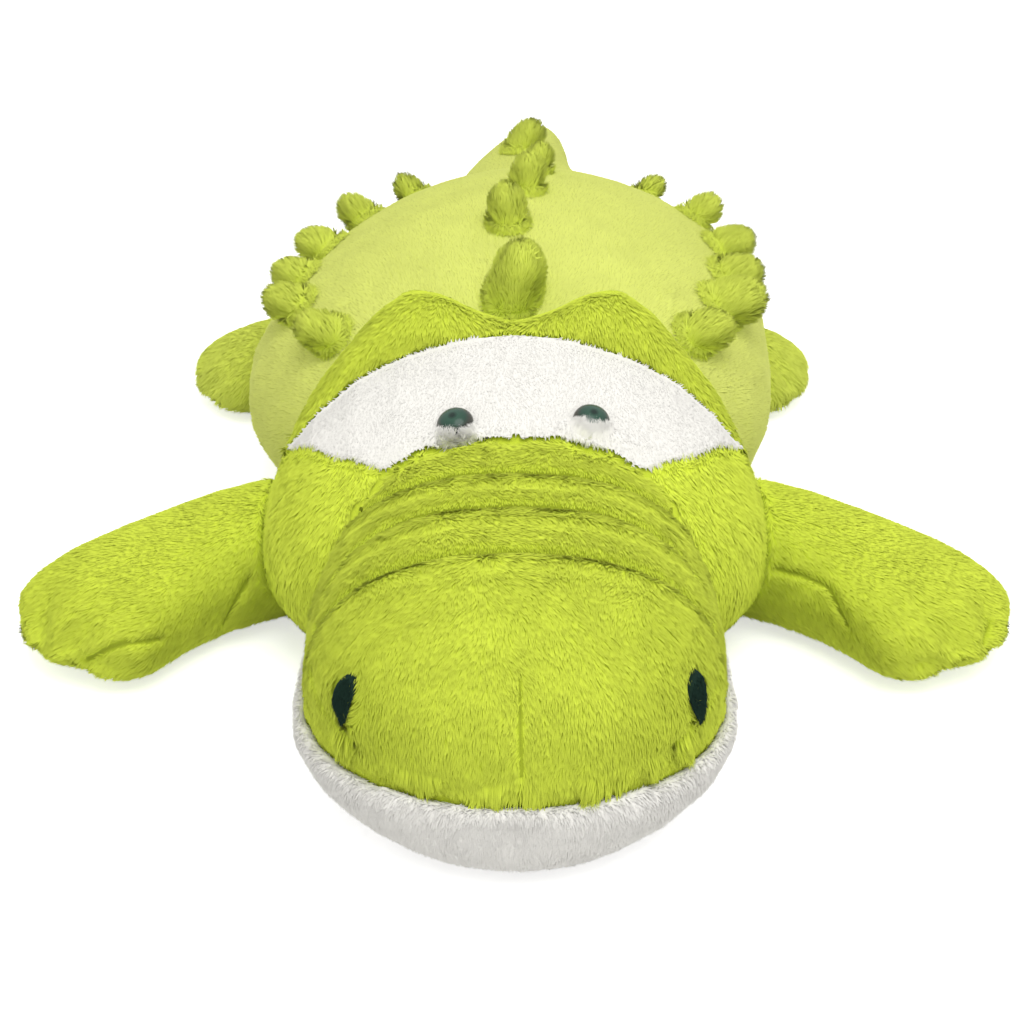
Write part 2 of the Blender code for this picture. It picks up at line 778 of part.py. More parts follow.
def build_eyes(finish, washer_finish, mask, mask_space, head_cover, head_core):
    tree = tree_of(mask_space)
    around, count = EYE_FACETS
    for name, side in SIDES:
        x, y = EYE_SHIFT + side * EYE_SPACING / 2, NOSE_Y + EYE_SETBACK + side * EYE_SKEW / 2
        seat, facing = look_down(tree, x, y)
        across = facing.orthogonal().normalized()
        up = facing.cross(across)
        dome = []
        for i in range(count + 1):
            lift = math.sin(math.pi / 2 * i / count)
            size = EYE_RADIUS * math.sqrt(1 - lift * lift)
            dome.append(ring(seat + facing * EYE_RISE * lift, across, up, size, size, size, around))
        skirt = [p - facing * EYE_SINK for p in dome[0]]
        eye = piece("eye_" + name, [skirt] + dome, finish)
        cut(eye, mask_space)
        foot = seat - facing * SHANK_LENGTH
        shank = rod_rings(seat + facing * EYE_RISE / 2, foot, SHANK_RADIUS, SHANK_AROUND)
        cut(eye, guide("shank_" + name, shank), operation="UNION")
        bore = rod_rings(seat + facing * EYE_RISE, foot - facing * GAP, SHANK_RADIUS + GAP, SHANK_AROUND)
        hole = guide("shank_hole_" + name, bore)
        cut(mask, hole)
        cut(head_cover, hole)
        top = seat - facing * (MASK_THICKNESS + CLOTH + WASHER_DROP)
        disc = rod_rings(top, top - facing * WASHER_THICKNESS, WASHER_RADIUS)
        cut(piece("eye_washer_" + name, disc, washer_finish), hole)
        room = rod_rings(seat, foot - facing * CLOTH, WASHER_RADIUS + GAP)
        cut(head_core, guide("washer_pocket_" + name, room))


def build_nostrils(finish, snout_space):
    """Oval patches on the corners of the snout, cut from a skin just over it."""
    tree = tree_of(snout_space)
    raised = guide("nostril_skin", snout_form().rings(GAP + NOSTRIL_THICKNESS))
    for name, side in SIDES:
        start = Vector((NOSTRIL_SHIFT + side * NOSTRIL_SPACING / 2, NOSE_Y, NOSTRIL_HEIGHT))
        hit, facing, _, _ = tree.ray_cast(start, ONWARD)
        up = (UP - facing * facing.z).normalized()
        across = up.cross(facing)
        oval = [
            ring(p, across, up, NOSTRIL_HALF_WIDTH, NOSTRIL_HALF_HEIGHT, NOSTRIL_HALF_HEIGHT, NOSTRIL_AROUND)
            for p in (hit - facing * CLOTH, hit + facing * CLOTH)
        ]
        patch = piece("nostril_" + name, oval, finish)
        cut(patch, raised, operation="INTERSECT")
        cut(patch, snout_space)


def build_side_spikes(finish, body_space):
    tree = tree_of(body_space)
    for name, side in SIDES:
        sizes = LEFT_SIZE_SHARES if side > 0 else RIGHT_SIZE_SHARES
        for i, place in enumerate(SIDE_PLACE_SHARES):
            size = sizes[i]
            y = NOSE_Y + BODY_SETBACK + BODY_LENGTH * place
            waist = BODY_WAIST * along(BODY_WAIST_SHARES, place)
            top = BODY_HEIGHT * along(BODY_TOP_SHARES, place)
            seat = look_in(tree, y, waist + (top - waist) * SIDE_HEIGHT_SHARES[i], side)
            outward = (ACROSS * side + UP * SIDE_TILT_SHARES[i]).normalized()
            rings = spike_rings(seat, outward, SPIKE_LENGTH * size, SPIKE_BASE * size, SPIKE_THICKNESS * size)
            cut(piece(f"side_spike_{name}_{i + 1}", rings, finish), body_space)


def build_crest(finish, body_space, brow_space, tail_space, tail_hinge):
    tree = tree_of(body_space)
    for i, place in enumerate(CREST_PLACE_SHARES):
        size = CREST_SIZE_SHARES[i]
        y = NOSE_Y + BODY_SETBACK + BODY_LENGTH * place
        seat, _ = look_down(tree, sway(y) * CREST_SWAY_SHARE, y)
        lean = (UP + ACROSS * CREST_SIDE_SHARES[i] + ONWARD * CREST_BACK_SHARES[i]).normalized()
        rings = spike_rings(seat, lean, CREST_LENGTH * size, CREST_BASE * size, CREST_THICKNESS * size)
        cut(piece(f"crest_spike_{i + 1}", rings, finish), body_space, brow_space)
    size = TAIL_SPIKE_SIZE_SHARE
    y = TAIL_SEAM_Y + TAIL_LENGTH * TAIL_SPIKE_PLACE_SHARE
    seat, _ = look_down(tree_of(tail_space), sway(y), y)
    lean = (UP + ACROSS * TAIL_SPIKE_SIDE_SHARE + ONWARD * TAIL_SPIKE_BACK_SHARE).normalized()
    rings = spike_rings(seat, lean, CREST_LENGTH * size, CREST_BASE * size, CREST_THICKNESS * size)
    cut(piece("tail_spike", rings, finish, tail_hinge), tail_space)


def main():
    clear_scene()
    green = material("green_pile", GREEN)
    back = material("back_pile", BACK_GREEN)
    white = material("white_pile", WHITE)
    felt = material("nostril_felt", NOSTRIL_GREEN)
    eye_plastic = material("eye_plastic", EYE_GREEN, EYE_ROUGHNESS)
    washer_plastic = material("washer_plastic", WASHER_WHITE, WASHER_ROUGHNESS)
    stuffing = material("stuffing", STUFFING)

    corners = [Vector((x, y, 0)) * TOTAL_LENGTH for x, y in ((-1, -1), (1, -1), (1, 1), (-1, 1))]
    ground = guide("ground", [[p - UP * OVERRUN for p in corners], corners])
    body_space = build_body(back, stuffing, ground)
    tail_space, tail_hinge = build_tail(back, stuffing, ground)
    head_space, head_cover, head_core = build_head(green, stuffing, ground, body_space)
    snout_space = build_muzzle(green, white, stuffing, ground, head_space)
    brow_space = build_brow(green, (head_space, body_space))
    mask, mask_space = build_mask(white, (head_space, snout_space, brow_space, body_space))
    build_eyes(eye_plastic, washer_plastic, mask, mask_space, head_cover, head_core)
    build_nostrils(felt, snout_space)
    for name, side in SIDES:
        build_leg("fore_leg_" + name, fore_leg(side), green, stuffing, ground, (body_space, head_space))
        build_leg("hind_leg_" + name, hind_leg(side), green, stuffing, ground, (body_space,))
    build_side_spikes(green, body_space)
    build_crest(green, body_space, brow_space, tail_space, tail_hinge)


main()
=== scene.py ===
"""A large stuffed crocodile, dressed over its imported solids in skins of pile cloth.

Each skin is made from the solids that it stands for, drawn in by the height of the pile, puffed out
by its stuffing, and then covered with tufts that lie along the nap. Metres, +Z up, nose towards -Y.
"""

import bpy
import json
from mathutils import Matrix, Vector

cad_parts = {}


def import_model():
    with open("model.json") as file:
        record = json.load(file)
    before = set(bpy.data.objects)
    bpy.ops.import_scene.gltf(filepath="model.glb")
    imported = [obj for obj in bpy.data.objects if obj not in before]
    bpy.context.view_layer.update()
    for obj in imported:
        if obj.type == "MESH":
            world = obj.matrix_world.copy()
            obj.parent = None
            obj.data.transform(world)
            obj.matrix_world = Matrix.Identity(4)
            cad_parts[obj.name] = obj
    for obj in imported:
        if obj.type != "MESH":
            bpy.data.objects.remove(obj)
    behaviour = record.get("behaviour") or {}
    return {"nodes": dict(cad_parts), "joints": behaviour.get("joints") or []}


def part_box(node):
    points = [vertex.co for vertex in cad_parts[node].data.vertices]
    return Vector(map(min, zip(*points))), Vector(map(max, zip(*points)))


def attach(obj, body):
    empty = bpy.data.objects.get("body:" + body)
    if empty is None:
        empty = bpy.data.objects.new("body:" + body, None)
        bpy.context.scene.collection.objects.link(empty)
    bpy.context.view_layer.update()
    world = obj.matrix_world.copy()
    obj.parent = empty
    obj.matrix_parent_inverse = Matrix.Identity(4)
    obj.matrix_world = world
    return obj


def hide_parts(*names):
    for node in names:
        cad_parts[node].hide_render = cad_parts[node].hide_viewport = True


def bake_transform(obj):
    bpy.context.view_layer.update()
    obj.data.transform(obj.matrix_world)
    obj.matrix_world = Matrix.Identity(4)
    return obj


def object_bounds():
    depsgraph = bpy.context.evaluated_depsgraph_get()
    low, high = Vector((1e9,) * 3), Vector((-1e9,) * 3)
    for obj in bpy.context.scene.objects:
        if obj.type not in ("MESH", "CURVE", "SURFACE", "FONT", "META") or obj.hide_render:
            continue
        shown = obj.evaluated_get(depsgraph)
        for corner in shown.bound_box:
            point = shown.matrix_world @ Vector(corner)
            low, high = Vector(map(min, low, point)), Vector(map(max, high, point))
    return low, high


bl_info = {
    "name": "Stuffed crocodile",
    "version": (1, 0, 0),
    "blender": (4, 5, 0),
    "location": "3D View > Sidebar > Crocodile",
    "description": "Sews, stuffs and brushes a large stuffed crocodile",
    "category": "Object",
}

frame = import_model()

import json
import math

import bmesh
import bpy
import numpy as np
from bpy.props import FloatProperty, FloatVectorProperty, IntProperty, PointerProperty
from mathutils import Matrix, Vector
from mathutils.bvhtree import BVHTree
from mathutils.kdtree import KDTree

CAD_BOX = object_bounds()
SIDES = (("left", 1), ("right", -1))
NOSE_Y = CAD_BOX[0].y

# Rows of the snout's creases: place on top, how far forward the ends run, and how soon they turn
CREASES = ((-0.3795, 0.012, 1.2), (-0.3365, 0.12, 3.2), (-0.301, 0.004, 1.0))
SOLID_CREASES = (-0.389, -0.35, -0.311)
CREASE_TOP = 0.16
CREASE_FOOT = 0.07
# Strength of the floor's own light, where it is seen directly
FLOOR_GLOW = 0.6
# How near to a neighbour a surface counts as sewn to it, and how far tufts lean over a seam
SEAM_REACH = 0.009
TUFT_REACH = 0.0012
LEAN_REACH = 0.006
# Share of the puff by which a skin is first drawn in
PUFF_SHARE = 0.75
# Under this height a skin rests on the floor
REST_HEIGHT = 0.006
# Lean of the tufts that lie on top
TOP_LEAN = math.radians(81)
# Tufts for a square metre of each skin
BODY_TUFTS = 0.32e6
HEAD_TUFTS = 0.55e6
SNOUT_TUFTS = 0.9e6
FRINGE_TUFTS = 1.1e6
JAW_TUFTS = 0.7e6
BROW_TUFTS = 0.7e6
BAND_TUFTS = 0.4e6
EYE_FRINGE_TUFTS = 11e6
NOSTRIL_TUFTS = 3.0e6
LEG_TUFTS = {"fore": 0.6e6, "hind": 0.45e6}
SPIKE_TUFTS = 0.8e6
# Where the skin would start to follow the tail, and where it would follow it fully; nothing makes it follow
TAIL_BEND = ("torso", "tail", (0, 0.275, 0.05), (0, 0.365, 0.05))
# The eyes: domes over the white band, on shanks
EYE_RADIUS = 0.0115
EYE_RISE = 0.008
EYE_SINK = 0.004
SHANK_RADIUS = 0.003
SHANK_LENGTH = 0.019
WASHER_DEPTH = 0.01405
# Open part of each nostril: its middle from that of the patch, sideways and up, then its half sizes
NOSTRIL_GAPS = {"left": (0.0012, -0.0035, 0.0052, 0.0165), "right": (0.001, 0.003, 0.0078, 0.0132)}
# Sewn lines and folds of the legs
LEG_LINES = {
    "fore_leg_right": (
        ((-0.2647, -0.307, 0.0254), (-0.2495, -0.3186, 0.0375), (-0.2379, -0.3187, 0.0427),
         (-0.2154, -0.309, 0.0393)),
        ((-0.183, -0.2669, 0.0219), (-0.1747, -0.2636, 0.0394), (-0.167, -0.2567, 0.0516)),
    ),
    "fore_leg_left": (
        ((0.1652, -0.2543, 0.0568), (0.1807, -0.2634, 0.0579), (0.1946, -0.2748, 0.0576),
         (0.2036, -0.2949, 0.0391)),
        ((0.2987, -0.2851, 0.0365), (0.2951, -0.2953, 0.0297)),
    ),
}


class PileSettings(bpy.types.PropertyGroup):
    """The pile of the cloths."""

    length: FloatProperty(
        name="Pile length", description="Length of the tufts of the green cloth",
        default=0.0066, unit="LENGTH",
    )
    width: FloatProperty(
        name="Tuft width", description="Width of a tuft at its root",
        default=0.0014, unit="LENGTH",
    )
    white_length: FloatProperty(
        name="White pile length", description="Length of the tufts of the white cloth",
        default=0.0046, unit="LENGTH",
    )
    rise: FloatProperty(
        name="Pile rise", description="How far the brushed pile stands over its cloth",
        default=0.0018, unit="LENGTH",
    )
    lean: FloatProperty(
        name="Lean", description="How far the tufts lie over from upright",
        default=math.radians(67), subtype="ANGLE",
    )
    clump: FloatProperty(
        name="Clumping", description="Share by which tips gather into locks", default=0.24, subtype="FACTOR"
    )


class ClothSettings(bpy.types.PropertyGroup):
    """The colours of the cloths."""

    green: FloatVectorProperty(
        name="Green", description="Tips of the green pile", size=3, subtype="COLOR",
        default=(0.72, 0.84, 0.08),
    )
    # Painted shade: the root colours are darker than the tips, for the shade deep in the pile.
    green_root: FloatVectorProperty(
        name="Green, deep", description="Roots of the green pile", size=3, subtype="COLOR",
        default=(0.63, 0.755, 0.05),
    )
    pale: FloatVectorProperty(
        name="Paler green", description="Tips on spikes and hind legs", size=3, subtype="COLOR",
        default=(0.74, 0.84, 0.12),
    )
    # Painted shade: darker roots, as for the green.
    pale_root: FloatVectorProperty(
        name="Paler green, deep", description="Roots on spikes and hind legs", size=3, subtype="COLOR",
        default=(0.66, 0.77, 0.085),
    )
    # Painted sheen: the back's green, tips and roots, is a paler copy of the same green cloth, where the nap
    # lies away; its roots are darker as painted shade.
    back: FloatVectorProperty(
        name="Back green", description="Tips of the pile on the back", size=3, subtype="COLOR",
        default=(0.76, 0.82, 0.195),
    )
    back_root: FloatVectorProperty(
        name="Back green, deep", description="Roots on the back", size=3, subtype="COLOR",
        default=(0.71, 0.77, 0.165),
    )
    white: FloatVectorProperty(
        name="White", description="Tips of the white pile", size=3, subtype="COLOR",
        default=(0.89, 0.872, 0.818),
    )
    # Painted shade: darker roots, as for the green.
    white_root: FloatVectorProperty(
        name="White, deep", description="Roots of the white pile", size=3, subtype="COLOR",
        default=(0.86, 0.84, 0.785),
    )
    felt: FloatVectorProperty(
        name="Nostril green", description="Pile of the nostrils", size=3, subtype="COLOR",
        default=(0.012, 0.036, 0.024),
    )


class ShapeSettings(bpy.types.PropertyGroup):
    """Sewn-in shape."""

    crease_depth: FloatProperty(
        name="Crease depth", description="Depth of the snout's creases", default=0.0045, unit="LENGTH"
    )
    crease_width: FloatProperty(
        name="Crease width", description="Half width of a crease", default=0.0036, unit="LENGTH"
    )
    seam_depth: FloatProperty(
        name="Seam depth", description="Depth of a plain seam",
        default=0.001, unit="LENGTH",
    )
    voxel: FloatProperty(
        name="Cloth mesh", description="Mesh size of the stuffed skins",
        default=0.006, unit="LENGTH",
    )
    puff: FloatProperty(
        name="Puff", description="How far the stuffing pushes a skin out", default=0.0035, unit="LENGTH"
    )
    pressure: FloatProperty(name="Pressure", description="Pressure of the stuffing", default=4.0)
    steps: IntProperty(name="Settling steps", description="Frames for the stuffing to settle", default=20)


class StageSettings(bpy.types.PropertyGroup):
    """The camera and the light."""

    camera_height: FloatProperty(
        name="Camera height", description="Height of the camera over the floor", default=0.841, unit="LENGTH"
    )
    camera_distance: FloatProperty(
        name="Camera distance", description="How far the camera stands before the nose",
        default=1.025, unit="LENGTH",
    )
    camera_side: FloatProperty(
        name="Camera side", description="How far the camera stands to one side",
        default=-0.0015, unit="LENGTH",
    )
    tilt: FloatProperty(
        name="Tilt", description="How far the camera looks down", default=math.radians(30), subtype="ANGLE"
    )
    lens: FloatProperty(name="Lens", description="Focal length in millimetres", default=83.18)
    light: FloatProperty(name="Light", description="Strength of the soft box in watts", default=28.0)
    surround: FloatProperty(name="Surround", description="Strength of the light all round", default=0.77)


def chosen():
    """The settings of this scene."""
    return bpy.context.scene


def clear_choice():
    for other in bpy.context.selected_objects:
        other.select_set(False)


def choose(piece):
    clear_choice()
    piece.hide_set(False)
    piece.select_set(True)
    bpy.context.view_layer.objects.active = piece


def linked(name, mesh):
    made = bpy.data.objects.new(name, mesh)
    bpy.context.scene.collection.objects.link(made)
    return made


def places_of(mesh):
    flat = np.empty(len(mesh.vertices) * 3, np.float32)
    mesh.vertices.foreach_get("co", flat)
    return flat.reshape(-1, 3).astype(float)


def facings_of(mesh):
    flat = np.empty(len(mesh.vertices) * 3, np.float32)
    mesh.vertex_normals.foreach_get("vector", flat)
    return flat.reshape(-1, 3).astype(float)


def put_places(mesh, places):
    mesh.vertices.foreach_set("co", places.astype(np.float32).ravel())
    mesh.update()


def unit(rows):
    return rows / np.maximum(np.linalg.norm(rows, axis=1, keepdims=True), 1e-9)


def smooth_step(values, low, high):
    share = np.clip((values - low) / (high - low), 0, 1)
    return share * share * (3 - 2 * share)


def drift(points, size, seed, channels=3):
    """Smooth random values from -1 to 1 at the points, which change over about that size."""
    table = np.random.default_rng(seed).uniform(-1, 1, (32, 32, 32, channels))
    scaled = points / size + 100
    cell = np.floor(scaled).astype(int)
    part = scaled - cell
    part = part * part * (3 - 2 * part)
    total = 0
    for corner in range(8):
        step = np.array([corner & 1, corner >> 1 & 1, corner >> 2 & 1])
        share = np.prod(np.where(step, part, 1 - part), axis=1)
        at = (cell + step) % 32
        total = total + table[at[:, 0], at[:, 1], at[:, 2]] * share[:, None]
    return total


def copied(name, nodes):
    """A mesh made of copies of CAD solids, with their loose triangles merged."""
    form = bmesh.new()
    for node in nodes:
        form.from_mesh(frame["nodes"][node].data)
    bmesh.ops.remove_doubles(form, verts=form.verts, dist=1e-6)
    mesh = bpy.data.meshes.new(name)
    form.to_mesh(mesh)
    form.free()
    return linked(name, mesh)


def tree_of(nodes):
    """The surfaces of some CAD solids, for finding what lies next to a skin."""
    corners, faces = [], []
    for node in nodes:
        mesh = frame["nodes"][node].data
        start = len(corners)
        corners += [v.co.copy() for v in mesh.vertices]
        faces += [tuple(start + i for i in p.vertices) for p in mesh.polygons]
    return BVHTree.FromPolygons(corners, faces)


def open_share(places, facings, tree, reach=SEAM_REACH):
    """1 where a surface faces the open air, and 0 where it lies against a neighbour."""
    share = np.ones(len(places))
    if tree:
        for i, (place, facing) in enumerate(zip(places, facings)):
            way = Vector(facing)
            if tree.ray_cast(Vector(place) + way * 0.0001, way, reach)[0]:
                share[i] = 0
    return share


def finish_with(piece, kind, **values):
    """Adds a modifier to the piece and applies it."""
    choose(piece)
    step = piece.modifiers.new(kind.lower(), kind)
    for name, value in values.items():
        setattr(step, name, value)
    bpy.ops.object.modifier_apply(modifier=step.name)


def spread_shares(mesh, shares, rounds):
    """Shares at the points, evened out along the edges."""
    edges = np.empty(len(mesh.edges) * 2, np.int32)
    mesh.edges.foreach_get("vertices", edges)
    a, b = edges.reshape(-1, 2).T
    count = np.bincount(a, minlength=len(shares)) + np.bincount(b, minlength=len(shares))
    for _ in range(rounds):
        total = np.bincount(a, shares[b], len(shares)) + np.bincount(b, shares[a], len(shares))
        shares = (shares + total / np.maximum(count, 1)) / 2
    return shares


def puff_out(piece, pinned, reach):
    """Lets pressure fill a skin, held at the pinned points, and caps how far any point moves."""
    shape = chosen().shape
    mesh = piece.data
    before = places_of(mesh)
    group = piece.vertex_groups.new(name="sewn")
    for share in (0.0, 1.0):
        rows = np.nonzero(pinned >= 0.5 if share else pinned < 0.5)[0].tolist()
        group.add(rows, share, "REPLACE")
    choose(piece)
    cloth = piece.modifiers.new("stuffing", "CLOTH")
    cloth.settings.vertex_group_mass = group.name
    cloth.settings.use_pressure = True
    cloth.settings.uniform_pressure_force = shape.pressure
    cloth.settings.effector_weights.gravity = 0
    cloth.collision_settings.use_collision = False
    cloth.point_cache.frame_start = 1
    cloth.point_cache.frame_end = shape.steps
    for number in range(1, shape.steps + 1):
        bpy.context.scene.frame_set(number)
    bpy.ops.object.modifier_apply(modifier=cloth.name)
    bpy.context.scene.frame_set(1)
    piece.vertex_groups.clear()
    moved = places_of(mesh) - before
    far = np.linalg.norm(moved, axis=1, keepdims=True)
    moved *= np.minimum(1, reach / np.maximum(far, 1e-9))
    put_places(mesh, before + moved)


def sink_foot(piece, tree, depth=0.008, flare=1.2):
    """Draws the foot of a spike into the skin that it is sewn to, and spreads it there."""
    places = places_of(piece.data)
    near = [tree.find_nearest(Vector(p)) for p in places]
    foot = np.array([hit[3] is not None and hit[3] < 0.0012 for hit in near])
    facings = np.array([hit[1] for hit in near])
    middle = places[foot].mean(0)
    places[foot] = middle + (places[foot] - middle) * flare - facings[foot] * depth
    put_places(piece.data, places)


def sewn_skin(name, nodes, neighbours, sewn=None, voxel=None, rise=None, puffed=True, rooted=None, rounds=2):
    """A stuffed skin in the place of its solids, under the height of its pile."""
    shape, pile = chosen().shape, chosen().pile
    piece = copied(name, nodes)
    if rooted:
        sink_foot(piece, rooted)
    finish_with(piece, "REMESH", mode="VOXEL", voxel_size=voxel or shape.voxel, use_smooth_shade=True)
    finish_with(piece, "SMOOTH", factor=0.5, iterations=rounds)
    mesh = piece.data
    tree = tree_of(neighbours) if neighbours else None
    places, facings = places_of(mesh), facings_of(mesh)
    free = spread_shares(mesh, open_share(places, facings, tree), 1)
    inset = (pile.rise if rise is None else rise) * free[:, None]
    if puffed:
        inset = inset + shape.puff * PUFF_SHARE * free[:, None]
    put_places(mesh, places - facings * inset)
    if puffed:
        pinned = (free < 0.7) | (places[:, 2] < REST_HEIGHT)
        if sewn:
            pinned |= sewn(places) > 0.4
        before = places_of(mesh)
        puff_out(piece, pinned.astype(float), shape.puff)
        after, facings = places_of(mesh), facings_of(mesh)
        gained = np.average(np.einsum("ij,ij->i", after - before, facings), weights=free + 1e-6)
        put_places(mesh, after + facings * (shape.puff * PUFF_SHARE - gained) * free[:, None])
    elif puffed:
        places, facings = places_of(mesh), facings_of(mesh)
        put_places(mesh, places + facings * shape.puff * PUFF_SHARE * free[:, None])
    finish_with(piece, "SUBSURF", levels=1, render_levels=1)
    piece.data.shade_smooth()
    return piece


def trail_share(places, points, width):
    """1 along a line through some points, falling to 0 at its sides."""
    near = np.full(len(places), np.inf)
    for start, end in zip(points, points[1:]):
        start, run = np.array(start), np.array(end) - np.array(start)
        along = np.clip((places - start) @ run / (run @ run), 0, 1)
        near = np.minimum(near, np.linalg.norm(places - start - along[:, None] * run, axis=1))
    return np.exp(-((near / width) ** 2))


def press(piece, depth):
    """Moves a skin's points inwards by depth(places, facings)."""
    places, facings = places_of(piece.data), facings_of(piece.data)
    put_places(piece.data, places - facings * depth(places, facings)[:, None])


def mark(skin, share):
    """Notes on a skin where its seams, creases and folds run, for the painted shade that its backing puts
    along them.
    """
    layer = skin.data.attributes.new("seam", "FLOAT", "POINT")
    layer.data.foreach_set("value", share(places_of(skin.data)).astype(np.float32))


def laid_on(skin, line):
    """A line through some points, laid on a skin."""
    mesh = skin.data
    faces = [tuple(face.vertices) for face in mesh.polygons]
    tree = BVHTree.FromPolygons([v.co.copy() for v in mesh.vertices], faces)
    points = []
    for start, end in zip(line, line[1:]):
        points += [Vector(start).lerp(Vector(end), k / 6) for k in range(6)]
    points.append(Vector(line[-1]))
    return [tuple(tree.find_nearest(p)[0]) for p in points]


def mesh_of_tufts(name, corners, facings, shades):
    """A mesh of closed three-sided tufts. corners is (tufts, 4, 3): three at the root, then the tip."""
    count = len(corners)
    faces = np.array([[0, 1, 3], [1, 2, 3], [2, 0, 3], [0, 2, 1]])
    wound = np.einsum("ij,ij->i", np.cross(corners[:, 1] - corners[:, 0], corners[:, 2] - corners[:, 0]),
                      corners[:, 3] - corners[:, 0])
    order = np.repeat(faces[None], count, axis=0)
    turned = wound < 0
    order[turned] = order[turned][:, :, ::-1]
    loops = (order + 4 * np.arange(count)[:, None, None]).ravel()
    mesh = bpy.data.meshes.new(name)
    mesh.vertices.add(count * 4)
    mesh.vertices.foreach_set("co", corners.astype(np.float32).ravel())
    mesh.loops.add(len(loops))
    mesh.loops.foreach_set("vertex_index", loops.astype(np.int32))
    mesh.polygons.add(count * 4)
    mesh.polygons.foreach_set("loop_start", np.arange(0, len(loops), 3, dtype=np.int32))
    mesh.update(calc_edges=True)
    across = np.tile([-0.004, 0.004, 0.0, 0.0], count)
    height = np.tile([0.03, 0.03, 0.07, 0.97], count)
    u = np.repeat(np.clip(shades, 0.01, 0.99), 4) + across
    layer = mesh.uv_layers.new(name="OFBake")
    pairs = np.stack([u[loops], height[loops]], axis=1)
    layer.uv.foreach_set("vector", pairs.astype(np.float32).ravel())
    mesh.shade_smooth()
    mesh.normals_split_custom_set_from_vertices(np.repeat(facings, 4, axis=0).tolist())
    return mesh


